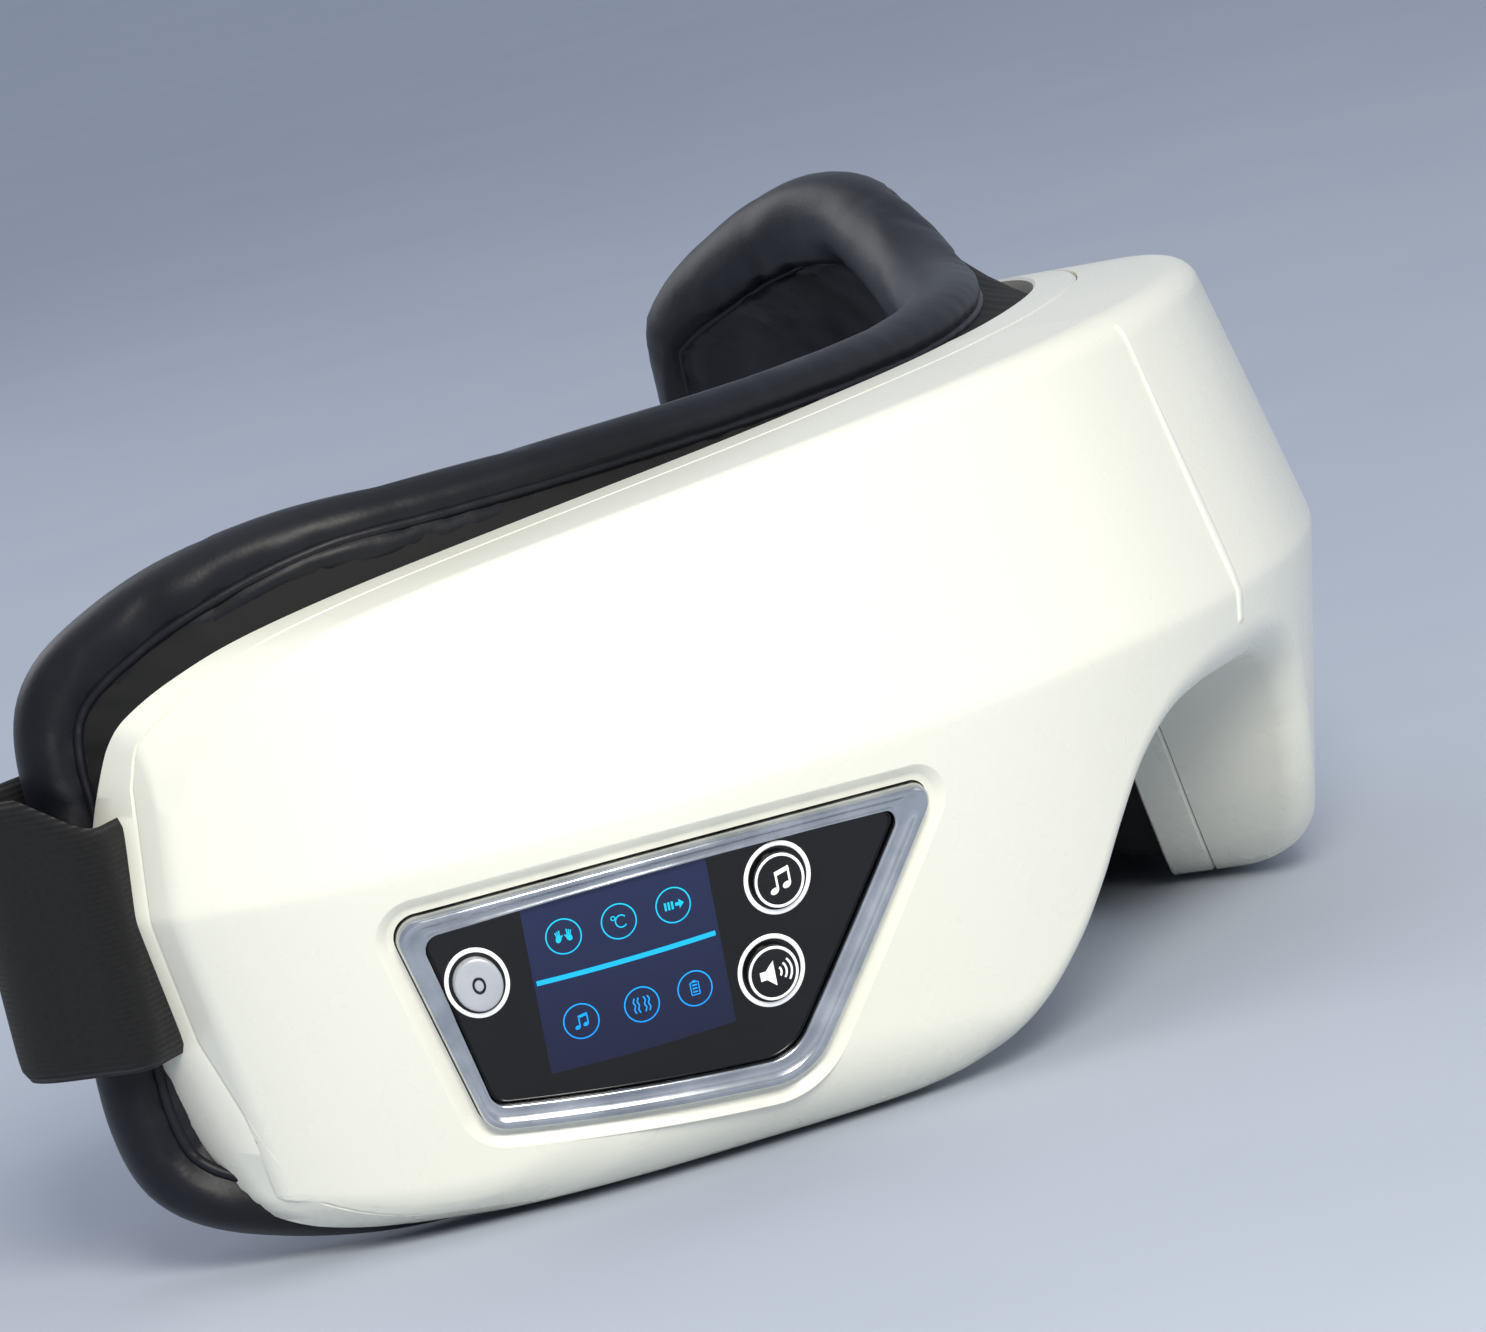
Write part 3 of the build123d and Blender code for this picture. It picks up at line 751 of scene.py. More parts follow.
@dataclass
class Housing:
    """The white mouldings: front shell, rear frame's rim and the centre trim."""

    skin: Skin
    half_columns: int = 104
    upper_rows: int = 38
    lower_rows: int = 48
    wall_rows: int = 16
    seam_gap: float = 0.28
    rear_loop: np.ndarray = field(init=False)

    def columns(self) -> np.ndarray:
        """Column parameters from the left temple to the right one."""
        return np.linspace(-1, 1, 2 * self.half_columns + 1)

    def sharp_grid(self) -> np.ndarray:
        """Face points before rounding, rows from the top edge to the bottom edge.

        Returns:
            Rows by columns by 3 array of points.
        """
        s = np.abs(self.columns())
        sign = np.where(self.columns() < 0, -1.0, 1.0)
        n = len(s)
        skin = self.skin
        ups = skin.loop[:len(smooth_path(skin.top, 12)), :2]
        downs = smooth_path(skin.foot, 12)[::-1, :2]
        upper = self.edge_run(ups, n // 2 + 1)
        lower = self.edge_run(downs, n // 2 + 1)
        rows = []
        index = np.rint(s * (n // 2)).astype(int)
        for i in range(self.upper_rows):
            t = 0.5 * (1 - math.cos(math.pi * i / self.upper_rows))
            rows.append(self.lift_row(upper[index], t))
        for i in range(self.lower_rows + 1):
            t = 0.5 * (1 - math.cos(math.pi * i / self.lower_rows))
            rows.append(self.lift_row(lower[index], 1 - t))
        grid = np.stack(rows)
        grid[..., 0] *= sign
        return grid

    def edge_run(self, outline: np.ndarray, count: int) -> np.ndarray:
        """Outline points as (ridge distance, height), ending on the temple's side.

        Args:
            outline: front-view x and z of the edge.
            count: how many points to return.

        Returns:
            count by 2 array.
        """
        skin = self.skin
        run = np.r_[0, np.cumsum(np.linalg.norm(np.diff(skin.ridge, axis=0), axis=1))]
        height = outline[:, 1] - skin.crease_z
        setback = skin.setback(outline[:, 1])[0]
        offset = self.offset_x(setback)
        where = np.array([np.interp(x, xs, run) for x, xs in zip(outline[:, 0], offset)])
        past = where >= run[-1] - 1e-6
        end = np.argmax(past) if np.any(past) else len(where) - 1
        return resample(np.stack([where, height], axis=1)[:end + 1], count)

    def offset_x(self, setback: np.ndarray) -> np.ndarray:
        """X of the ridge's curve moved in by each setback, one row each.

        Args:
            setback: set-backs of the face.

        Returns:
            One row of x values for each setback.
        """
        d = np.gradient(self.skin.ridge, axis=0)
        d /= np.linalg.norm(d, axis=1)[:, None]
        return self.skin.ridge[None, :, 0] - d[None, :, 1] * setback[:, None]

    def lift_row(self, edge: np.ndarray, t: float) -> np.ndarray:
        """One row of the face, part way from the outline (t=0) to the ridge line (t=1).

        Args:
            edge: the edge's points as (ridge distance, height).
            t: the row's share of the way.

        Returns:
            The row's points.
        """
        skin = self.skin
        run = np.r_[0, np.cumsum(np.linalg.norm(np.diff(skin.ridge, axis=0), axis=1))]
        at_ridge = np.linspace(0, run[-1], self.half_columns + 1)
        index = np.abs(np.arange(-self.half_columns, self.half_columns + 1))
        where = edge[:, 0] * (1 - t) + at_ridge[index] * t
        height = edge[:, 1] * (1 - t)
        z = skin.crease_z + height
        tangent = np.gradient(skin.ridge, axis=0)
        tangent /= np.linalg.norm(tangent, axis=1)[:, None]
        lean = skin.setback(z)[0]
        x = np.interp(where, run, skin.ridge[:, 0]) - np.interp(where, run, tangent[:, 1]) * lean
        y = np.interp(where, run, skin.ridge[:, 1]) + np.interp(where, run, tangent[:, 0]) * lean
        return np.stack([np.maximum(x, 0.0), y, z], axis=1)

    def outer(self) -> tuple[np.ndarray, list[tuple[int, ...]], list[int]]:
        """Outer skin of the front shell.

        Returns:
            Points, quads and the rear boundary's vertex loop.
        """
        face = self.sharp_grid()
        rows, cols = face.shape[:2]
        steps = (np.arange(1, self.wall_rows + 1) / self.wall_rows) ** 1.5
        settled = self.skin.settle(face.reshape(-1, 3)).reshape(face.shape)

        def back(sharp: np.ndarray, edge: np.ndarray) -> np.ndarray:
            """Wall rows behind an edge, out to the parting line.

            Args:
                sharp: the edge's points before rounding.
                edge: the same points on the rounded form.

            Returns:
                Wall rows, front to rear.
            """
            end = sharp.copy()
            end[:, 1] = self.skin.parting_y(end[:, 0])
            keep = np.ones(len(end), bool)
            for _ in range(12):
                end = self.skin.settle(end, keep, 3)
                end[:, 1] += 0.5 * (self.skin.parting_y(end[:, 0]) - end[:, 1])
            wall = edge + steps[:, None, None] * (end - edge)
            keep = np.ones(wall.shape[0] * wall.shape[1], bool)
            return self.skin.settle(wall.reshape(-1, 3), keep).reshape(wall.shape)

        top, bottom = back(face[0], settled[0]), back(face[-1], settled[-1])
        left, right = back(face[:, 0], settled[:, 0]), back(face[:, -1], settled[:, -1])
        blocks = [settled.reshape(-1, 3), top.reshape(-1, 3), bottom.reshape(-1, 3),
                  left[:, 1:-1].reshape(-1, 3), right[:, 1:-1].reshape(-1, 3)]
        points = np.vstack(blocks)
        starts = np.r_[0, np.cumsum([len(b) for b in blocks])]

        def face_id(i: int, j: int) -> int:
            """Vertex of the face."""
            return i * cols + j

        def top_id(k: int, j: int) -> int:
            """Vertex of the top wall, or of the face's top edge ahead of it."""
            return starts[1] + k * cols + j if k >= 0 else face_id(0, j)

        def bottom_id(k: int, j: int) -> int:
            """Vertex of the bottom wall, or of the face's bottom edge ahead of it."""
            return starts[2] + k * cols + j if k >= 0 else face_id(rows - 1, j)

        def side_id(block: int, k: int, i: int) -> int:
            """Vertex of a temple wall, sharing the face's and the other walls' vertices.

            Args:
                block: which temple, as its block of points.
                k: wall row, -1 on the face.
                i: row of the face.

            Returns:
                The vertex's index.
            """
            j = 0 if block == 3 else cols - 1
            if k < 0:
                return face_id(i, j)
            if i == 0:
                return top_id(k, j)
            if i == rows - 1:
                return bottom_id(k, j)
            return starts[block] + k * (rows - 2) + i - 1

        quads = grid_faces(rows, cols)
        for k in range(-1, len(steps) - 1):
            for j in range(cols - 1):
                quads.append((top_id(k, j), top_id(k + 1, j), top_id(k + 1, j + 1),
                              top_id(k, j + 1))[::-1])
                quads.append((bottom_id(k, j), bottom_id(k, j + 1), bottom_id(k + 1, j + 1),
                              bottom_id(k + 1, j))[::-1])
            for i in range(rows - 1):
                quads.append((side_id(3, k, i), side_id(3, k, i + 1), side_id(3, k + 1, i + 1),
                              side_id(3, k + 1, i))[::-1])
                quads.append((side_id(4, k, i), side_id(4, k + 1, i), side_id(4, k + 1, i + 1),
                              side_id(4, k, i + 1))[::-1])
        last = len(steps) - 1
        loop = [top_id(last, j) for j in range(cols)]
        loop += [side_id(4, last, i) for i in range(1, rows - 1)]
        loop += [bottom_id(last, j) for j in range(cols - 1, -1, -1)]
        loop += [side_id(3, last, i) for i in range(rows - 2, 0, -1)]
        return points, quads, loop

    def build(self, finish: bpy.types.Material, trim: bpy.types.Material,
              cutter: "ControlPanel") -> None:
        """Builds and dresses the white mouldings.

        Args:
            finish: the mouldings' plastic.
            trim: the centre trim's plastic.
            cutter: the panel whose recess the shell is cut for.
        """
        outer, quads, loop = self.outer()
        normal = self.skin.value(outer)[1]
        inner = outer - normal * self.skin.wall
        count = len(outer)
        faces = [q[::-1] for q in quads] + [tuple(i + count for i in q) for q in quads]
        for a, b in zip(loop, loop[1:] + loop[:1]):
            faces.append((a, b, b + count, a + count))
        shell = mesh_piece("shell_front", np.vstack([outer, inner]), faces, finish)
        face_out(shell)
        cutter.cut(shell)
        self.dress_normals(shell)
        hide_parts("front_shell")
        self.rear_loop = resample(np.vstack([outer[loop], outer[loop][:1]]), 901)[:-1]
        self.rim(self.rear_loop, finish)
        self.trim(trim)

    def dress_normals(self, piece: bpy.types.Object) -> None:
        """Gives faces on the outer skin the exact normals of the rounded form.

        Args:
            piece: the piece to change.
        """
        mesh = piece.data
        points = np.empty(len(mesh.vertices) * 3)
        mesh.vertices.foreach_get("co", points)
        points = points.reshape(-1, 3) / MM + DATUM
        value, exact = self.skin.value(points)
        skin_vertex = np.abs(value) < 0.12
        normals = np.empty(len(mesh.loops) * 3)
        mesh.corner_normals.foreach_get("vector", normals)
        normals = normals.reshape(-1, 3)
        for poly in mesh.polygons:
            inside = [skin_vertex[v] for v in poly.vertices]
            flat = np.array(poly.normal)
            good = all(inside) and flat @ exact[poly.vertices[0]] > 0.5
            for k in poly.loop_indices:
                normals[k] = exact[mesh.loops[k].vertex_index] if good else flat
        mesh.normals_split_custom_set(normals.tolist())

    def rim(self, front_loop: np.ndarray, finish: bpy.types.Material) -> None:
        """Builds the rear frame's rim, the strip behind the parting line.

        Args:
            front_loop: the shell's rear edge.
            finish: the mouldings' plastic.
        """
        skin = self.skin
        ring = front_loop
        start = skin.parting_y(ring[:, 0]) + self.seam_gap
        end = self.evened(skin.rim_y(ring[:, 0], ring[:, 2]))
        profile = [(0.0, 1.6), (0.0, 0.3), (0.06, 0.0), (0.5, 0.0), (0.94, 0.0), (1.0, 0.35),
                   (1.0, skin.wall), (0.3, skin.wall), (0.0, skin.wall)]
        rows = []
        for part, inset in profile:
            rows.append(self.ring_at(start + (end - start) * part, inset))
        rim = mesh_piece("rear_frame_rim", np.vstack(rows),
                         grid_faces(len(rows), len(ring), closed_rows=True,
                                    closed_columns=True), finish)
        face_out(rim)
        shade_by_angle(rim, 35)
        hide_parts("rear_frame")

    def sideways(self, ring: np.ndarray) -> np.ndarray:
        """Outward unit directions of the wall at a ring of its points, square to Y.

        Args:
            ring: n by 3 points in order.

        Returns:
            n by 3 unit directions.
        """
        probe = ring + np.array([0.0, 1.0, 0.0])
        out = self.skin.value(probe)[1]
        out[:, 1] = 0
        out = self.evened(out / np.linalg.norm(out, axis=1)[:, None])
        return out / np.linalg.norm(out, axis=1)[:, None]

    @staticmethod
    def evened(values: np.ndarray, reach: int = 12) -> np.ndarray:
        """Values round a closed ring, averaged over a few neighbours.

        Args:
            values: one value or row each.
            reach: neighbours on each side.

        Returns:
            The averaged values, in the same order.
        """
        kernel = np.hanning(2 * reach + 3)[1:-1]
        kernel /= kernel.sum()
        padded = np.concatenate([values[-reach:], values, values[:reach]])
        if values.ndim == 1:
            return np.convolve(padded, kernel, "valid")
        return np.stack([np.convolve(c, kernel, "valid") for c in padded.T], axis=1)

    def ring_at(self, y: np.ndarray, inset: float) -> np.ndarray:
        """A ring of the wall at the given y values, moved in from its outside.

        Args:
            y: one y each.
            inset: how far in from the outside.

        Returns:
            n by 3 points.
        """
        ring = self.rear_loop.copy()
        ring[:, 1] = y
        ring = self.skin.settle(ring, np.ones(len(ring), bool), 6)
        return ring - self.sideways(ring) * inset

    def rim_ring(self, inset: float, ahead: float) -> np.ndarray:
        """The rim's ring moved in from the outside and ahead of its rear edge."""
        loop = self.rear_loop
        return self.ring_at(self.evened(self.skin.rim_y(loop[:, 0], loop[:, 2])) - ahead, inset)

    def trim(self, finish: bpy.types.Material) -> None:
        """Builds the slim trim inlaid down the centre of the ridge.

        Args:
            finish: the trim's plastic.
        """
        heights = np.concatenate([np.linspace(79.5, 46, 44), np.linspace(45, 37.0, 22)])
        span = (79.5 - heights) / (79.5 - 37.0)
        width = 0.85 * np.sin(math.pi * np.clip(span, 0, 1) ** 1.6) ** 0.8
        across = np.linspace(-1, 1, 7)
        points = []
        for z, w in zip(heights, width):
            for a in across:
                points.append((a * w, self.skin.brow_y + 8, z))
        points = self.skin.settle(np.array(points))
        lift = np.tile(0.32 * (1 - np.abs(across) ** 6), len(heights)) - 0.05
        points += self.skin.value(points)[1] * lift[:, None]
        piece = mesh_piece("centre_ridge_trim", points, grid_faces(len(heights), len(across)),
                           finish)
        face_out(piece)
        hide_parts("centre_trim")


# ------------------------------------------------------------------ control panel
class Key(Enum):
    """The three push keys, with the CAD body that each rides on."""

    POWER = "power_key"
    MUSIC = "music_key"
    VOLUME = "volume_key"


@dataclass
class ControlPanel:
    """Bezel, window, display and keys, laid on the curved skin below the ridge."""

    skin: Skin
    # the panel's place along the ridge and its height
    ridge_part: float = 0.57
    height: float = 23.0
    # corners and corner radii of the bezel's outer and inner edges
    outer: tuple = ((-30, 16.4), (38, 14.8), (15, -15.6), (-23.6, -11.6))
    outer_radii: tuple = (3.0, 2.2, 8.5, 3.2)
    inner: tuple = ((-26.7, 13.9), (32.4, 13.1), (13.2, -12.2), (-22.4, -8.6))
    inner_radii: tuple = (2.0, 1.4, 6.0, 2.0)
    # the chamfered recess round the bezel, and the bow of the top edge
    recess_wide: float = 2.4
    top_bow: float = 1.7
    corner_steps: int = 14
    side_steps: int = 26

    def axes(self) -> tuple[np.ndarray, np.ndarray, np.ndarray, np.ndarray]:
        """The flat panel's origin, along, up and outward directions.

        Returns:
            Origin, then unit vectors along, up and out.
        """
        s = self.skin
        t = self.ridge_part
        p = np.array([(0, s.brow_y), (s.brow_handle, s.brow_y),
                      (s.half_width, s.temple_y - s.temple_handle),
                      (s.half_width, s.temple_y)], float)
        at = ((1 - t) ** 3 * p[0] + 3 * t * (1 - t) ** 2 * p[1] + 3 * t * t * (1 - t) * p[2]
              + t ** 3 * p[3])
        d = (3 * (1 - t) ** 2 * (p[1] - p[0]) + 6 * t * (1 - t) * (p[2] - p[1])
             + 3 * t * t * (p[3] - p[2]))
        d /= np.linalg.norm(d)
        out2 = np.array([-d[1], -d[0]])
        lean = (s.crease_z - self.height) * s.rake_down
        size = math.hypot(1, s.rake_down)
        origin = np.array([-at[0] - out2[0] * lean, at[1] - out2[1] * lean, self.height])
        along = np.array([d[0], -d[1], 0.0])
        out = np.array([out2[0], out2[1], -s.rake_down]) / size
        return origin, along, np.cross(out, along), out

    def on_skin(self, spots: np.ndarray, lift: float | np.ndarray) -> np.ndarray:
        """Puts flat panel spots on the curved skin.

        Args:
            spots: n by 2 panel coordinates in millimetres.
            lift: height above the skin, one number or one each.

        Returns:
            n by 3 points.
        """
        origin, along, up, out = self.axes()
        flat = origin + np.outer(spots[:, 0], along) + np.outer(spots[:, 1], up)
        return self.skin.onto_front(flat, out, lift)

    def outline(self, corners: Sequence[Sequence[float]], radii: Sequence[float],
                grow: float = 0.0) -> np.ndarray:
        """A rounded polygon, grown outwards, with the same number of points every time.

        Args:
            corners: four corners, in order.
            radii: one radius each.
            grow: how far to grow it.

        Returns:
            n by 2 panel spots.
        """
        c = np.asarray(corners, float)
        n = len(c)
        arcs = []
        for k in range(n):
            before, here, after = c[k - 1], c[k], c[(k + 1) % n]
            u = (before - here) / np.linalg.norm(before - here)
            v = (after - here) / np.linalg.norm(after - here)
            half = math.acos(np.clip(u @ v, -1, 1)) / 2
            middle = (u + v) / np.linalg.norm(u + v)
            centre = here + middle * radii[k] / math.sin(half)
            start = here + u * radii[k] / math.tan(half) - centre
            end = here + v * radii[k] / math.tan(half) - centre
            a0 = math.atan2(start[1], start[0])
            turn = (math.atan2(end[1], end[0]) - a0 + math.pi) % (2 * math.pi) - math.pi
            angles = a0 + np.linspace(0, 1, self.corner_steps) * turn
            round_it = np.stack([np.cos(angles), np.sin(angles)], axis=1)
            arcs.append(centre + (radii[k] + grow) * round_it)
        out = []
        for k in range(n):
            out.append(arcs[k])
            a, b = arcs[k][-1], arcs[(k + 1) % n][0]
            share = np.linspace(0, 1, self.side_steps)[1:-1, None]
            bow = self.top_bow * 4 * share * (1 - share) if k == 0 else 0.0
            out.append(a + share * (b - a) + np.array([0.0, 1.0]) * bow)
        return np.vstack(out)

    def cut(self, shell: bpy.types.Object) -> None:
        """Cuts the recess's opening through the shell.

        Args:
            shell: the front shell.
        """
        ring = self.outline(self.outer, self.outer_radii, self.recess_wide)
        origin, along, up, out = self.axes()
        flat = origin + np.outer(ring[:, 0], along) + np.outer(ring[:, 1], up)
        n = len(ring)
        points = np.vstack([flat - out * 16, flat + out * 8])
        faces = grid_faces(2, n, closed_columns=True)
        faces += [tuple(range(n))[::-1], tuple(range(n, 2 * n))]
        tool = mesh_piece("panel_cutter", points, faces, shell.data.materials[0], smooth=False)
        face_out(tool)
        cut = shell.modifiers.new("cut", "BOOLEAN")
        cut.operation, cut.solver, cut.object = "DIFFERENCE", "EXACT", tool
        bake_modifiers(shell)
        bpy.data.objects.remove(tool)

    def band(self, name: str, rows: Sequence[tuple[float, float, float]],
             material: bpy.types.Material, closed: bool = False) -> bpy.types.Object:
        """A band round the panel from rows of (outer to inner share, growth, lift).

        Args:
            name: the piece's name.
            rows: outer to inner share, growth and lift of each row.
            material: its one finish.
            closed: joins the last row to the first.

        Returns:
            The new piece.
        """
        rings = []
        for share, grow, lift in rows:
            a = self.outline(self.outer, self.outer_radii, grow)
            b = self.outline(self.inner, self.inner_radii, grow)
            rings.append(self.on_skin(a * (1 - share) + b * share, lift))
        piece = mesh_piece(name, np.vstack(rings),
                           grid_faces(len(rings), len(rings[0]), closed_rows=closed,
                                      closed_columns=True, flip=True), material)
        return piece

    def disc(self, name: str, centre: Sequence[float], rings: Sequence[tuple[float, float]],
             material: bpy.types.Material, body: str = MASK_BODY, inner: float = 0.0,
             steps: int = 56, tall: float = 1.0) -> bpy.types.Object:
        """A round piece on the skin from rings of (radius, lift), filled or with a hole.

        Args:
            name: the piece's name.
            centre: its centre on the panel.
            rings: radius and lift of each ring.
            material: its one finish.
            body: the CAD body it moves with.
            inner: 0 for a filled piece.
            steps: points round it.
            tall: height over width.

        Returns:
            The new piece.
        """
        angle = np.linspace(0, 2 * math.pi, steps, endpoint=False)
        circle = np.stack([np.cos(angle), np.sin(angle) * tall], axis=1)
        rows = [self.on_skin(np.asarray(centre) + circle * r, lift) for r, lift in rings]
        faces = grid_faces(len(rows), steps, closed_columns=True, flip=True)
        points = np.vstack(rows)
        if not inner:
            middle = self.on_skin(np.asarray([centre], float), rings[-1][1])
            points = np.vstack([points, middle])
            last = (len(rows) - 1) * steps
            faces += [(last + k, len(points) - 1, last + (k + 1) % steps) for k in range(steps)]
        return mesh_piece(name, points, faces, material, body)

    def build(self, finishes: dict[str, bpy.types.Material]) -> None:
        """Builds the recess, bezel, window, display and keys.

        Args:
            finishes: the finishes by name.
        """
        recess = self.band("panel_recess", [
            (0, self.recess_wide + 0.03, -0.02), (0, self.recess_wide - 0.25, -0.12),
            (0, 1.15, -0.95), (0, 0.75, -1.15), (0, 0.12, -1.2), (0, 0.1, -2.6)], finishes["shell"])
        shade_by_angle(recess, 50)
        bezel = self.band("bezel_band", [
            (0, 0, -2.5), (0, 0, 0.2), (0.03, 0, 0.55), (0.1, 0, 0.82), (0.2, 0, 0.95),
            (0.32, 0, 0.92), (0.42, 0, 0.74), (0.52, 0, 0.5), (0.7, 0, 0.34), (0.8, 0, 0.36),
            (0.86, 0, 0.5), (0.93, 0, 0.52), (0.985, 0, 0.36), (1, 0, 0.1), (1, 0, -2.5)],
            finishes["bezel"], closed=True)
        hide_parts("panel_bezel")
        self.window(finishes["window"])
        self.display(finishes)
        self.keys(finishes)

    def window(self, material: bpy.types.Material) -> None:
        """Builds the black window, crowned off at its edge.

        Args:
            material: its one finish.
        """
        ring = self.outline(self.inner, self.inner_radii, -0.04)
        centre = ring.mean(axis=0)
        shares = [1.0, 1.0, 0.992, 0.97, 0.9, 0.78, 0.62, 0.45, 0.28, 0.12]
        lifts = [-1.8, -0.55, -0.38, -0.35] + [-0.35] * 6
        rows = [self.on_skin(centre + (ring - centre) * k, lift) for k, lift in zip(shares, lifts)]
        n = len(ring)
        points = np.vstack([*rows, self.on_skin(centre[None], -0.35)])
        faces = grid_faces(len(rows), n, closed_columns=True, flip=True)
        last = (len(rows) - 1) * n
        faces += [(last + k, len(points) - 1, last + (k + 1) % n) for k in range(n)]
        piece = mesh_piece("window_face", points, faces, material)
        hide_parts("panel_window")

    def display(self, finishes: dict[str, bpy.types.Material]) -> None:
        """Builds the lit display and the signs on it.

        Args:
            finishes: the finishes by name.
        """
        left, right, low, high = -15.2, 7.2, -6.3, 15.1
        n = 12
        xs, ys = np.linspace(left, right, n), np.linspace(low, high, n)
        spots = np.array([(x + 0.25 * (y - low) / (high - low), y) for y in ys for x in xs])
        spots[:, 1] += 0.018 * (spots[:, 0] - left)
        sheet = mesh_piece("display_glass", self.on_skin(spots, -0.30), grid_faces(n, n),
                           finishes["display"])
        DisplaySigns(self, left, right, low, high).build(finishes["sign"])

    def keys(self, finishes: dict[str, bpy.types.Material]) -> None:
        """Builds the three keys, each with its printed rings and sign.

        Args:
            finishes: the finishes by name.
        """
        spots = {Key.POWER: (-21.3, 6.8), Key.MUSIC: (15.5, 9.7), Key.VOLUME: (12.6, -1.2)}
        for key, centre in spots.items():
            body = key.value
            size, tall = (0.84, 1.2) if key is Key.POWER else (0.95, 1.08)
            metal = key is Key.POWER
            cap = self.disc(f"{body}_cap", centre,
                            [(r * size, lift) for r, lift in (
                                (3.3, -1.5), (3.3, 0.42), (3.22, 0.56), (3.0, 0.62), (2.2, 0.62),
                                (1.3, 0.62), (0.6, 0.62))],
                            finishes["key_metal" if metal else "key_black"], body, tall=tall)
            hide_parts(body)
            ring = self.disc(f"{body}_ring", centre, 
                             [(r * size, lift) for r, lift in (
                                 (4.4, -0.36), (4.35, -0.28), (3.86, -0.28), (3.82, -0.36))],
                             finishes["print"], inner=1, tall=tall)
            if metal:
                mark = self.disc("power_key_mark", centre, [(0.78, 0.6), (0.76, 0.68), (0.52, 0.68),
                                                            (0.5, 0.6)],
                                 finishes["key_black"], body, inner=1, tall=1.4)
            else:
                halo = self.disc(f"{body}_halo", centre,
                                 [(r * size, lift) for r, lift in (
                                     (3.26, 0.6), (3.22, 0.66), (2.94, 0.66), (2.9, 0.6))],
                                 finishes["print"], body, inner=1, tall=tall)
        KeySigns(self, spots[Key.MUSIC], spots[Key.VOLUME]).build(finishes["print"])


class Stroke:
    """Flat shapes drawn in panel millimetres: bars, arcs and filled outlines."""

    @staticmethod
    def bar(a: Sequence[float], b: Sequence[float], wide: float) -> np.ndarray:
        """A straight bar from a to b.

        Args:
            a: one end.
            b: the other end.
            wide: its width.

        Returns:
            Its outline.
        """
        a, b = np.asarray(a, float), np.asarray(b, float)
        d = (b - a) / np.linalg.norm(b - a)
        n = np.array([-d[1], d[0]]) * wide / 2
        steps = np.linspace(0, 1, 8)[:, None]
        side = a + (b - a) * steps
        return np.vstack([side - n, (side + n)[::-1]])

    @staticmethod
    def arc(centre: Sequence[float], radius: float, start: float, end: float, wide: float,
            tall: float = 1.0) -> np.ndarray:
        """A curved bar between two angles in degrees.

        Args:
            centre: its centre on the panel.
            radius: its radius.
            start: first angle.
            end: last angle.
            wide: its width.
            tall: height over width.

        Returns:
            Its outline.
        """
        angle = np.radians(np.linspace(start, end, max(6, int(abs(end - start) / 8))))
        ring = np.stack([np.cos(angle), np.sin(angle) * tall], axis=1)
        c = np.asarray(centre, float)
        return np.vstack([c + ring * (radius - wide / 2), (c + ring * (radius + wide / 2))[::-1]])

    @staticmethod
    def blob(centre: Sequence[float], rx: float, ry: float, lean: float = 0.0) -> np.ndarray:
        """A filled ellipse, leaning by an angle in degrees.

        Args:
            centre: its centre on the panel.
            rx: half its width.
            ry: half its height.
            lean: its angle.

        Returns:
            Its outline.
        """
        angle = np.linspace(0, 2 * math.pi, 20, endpoint=False)
        p = np.stack([rx * np.cos(angle), ry * np.sin(angle)], axis=1)
        c, s = math.cos(math.radians(lean)), math.sin(math.radians(lean))
        return np.asarray(centre, float) + p @ np.array([[c, s], [-s, c]])


@dataclass
class SignSheet:
    """Signs joined into one thin printed piece at one height above the skin."""

    panel: ControlPanel

    def print_shapes(self, name: str, shapes: list[np.ndarray], lift: float,
                     material: bpy.types.Material, body: str, slot: str) -> bpy.types.Object:
        """Joins flat outlines into one piece on the skin.

        Args:
            name: the piece's name.
            shapes: outlines in panel millimetres.
            lift: height above the skin.
            material: its one finish.
            body: the CAD body it moves with.
            slot: its colour slot, not used.

        Returns:
            The new piece.
        """
        points, faces, start = [], [], 0
        for shape in shapes:
            half = len(shape) // 2
            points.append(self.panel.on_skin(shape, lift))
            if len(shape) % 2 == 0:
                for k in range(half - 1):
                    faces.append((start + k, start + k + 1, start + len(shape) - 2 - k,
                                  start + len(shape) - 1 - k))
            else:
                faces.append(tuple(range(start, start + len(shape))))
            start += len(shape)
        piece = mesh_piece(name, np.vstack(points), faces, material, body, smooth=False)
        return piece

    def note(self, centre: Sequence[float], size: float) -> list[np.ndarray]:
        """A pair of beamed notes.

        Args:
            centre: its centre on the panel.
            size: half its height.

        Returns:
            Outlines.
        """
        x, y = centre
        s = size
        return [Stroke.blob((x - 0.42 * s, y - 0.55 * s), 0.27 * s, 0.2 * s, 20),
                Stroke.blob((x + 0.38 * s, y - 0.38 * s), 0.27 * s, 0.2 * s, 20),
                Stroke.bar((x - 0.2 * s, y - 0.5 * s), (x - 0.2 * s, y + 0.48 * s), 0.13 * s),
                Stroke.bar((x + 0.6 * s, y - 0.33 * s), (x + 0.6 * s, y + 0.68 * s), 0.13 * s),
                Stroke.bar((x - 0.26 * s, y + 0.45 * s), (x + 0.66 * s, y + 0.64 * s), 0.28 * s)]


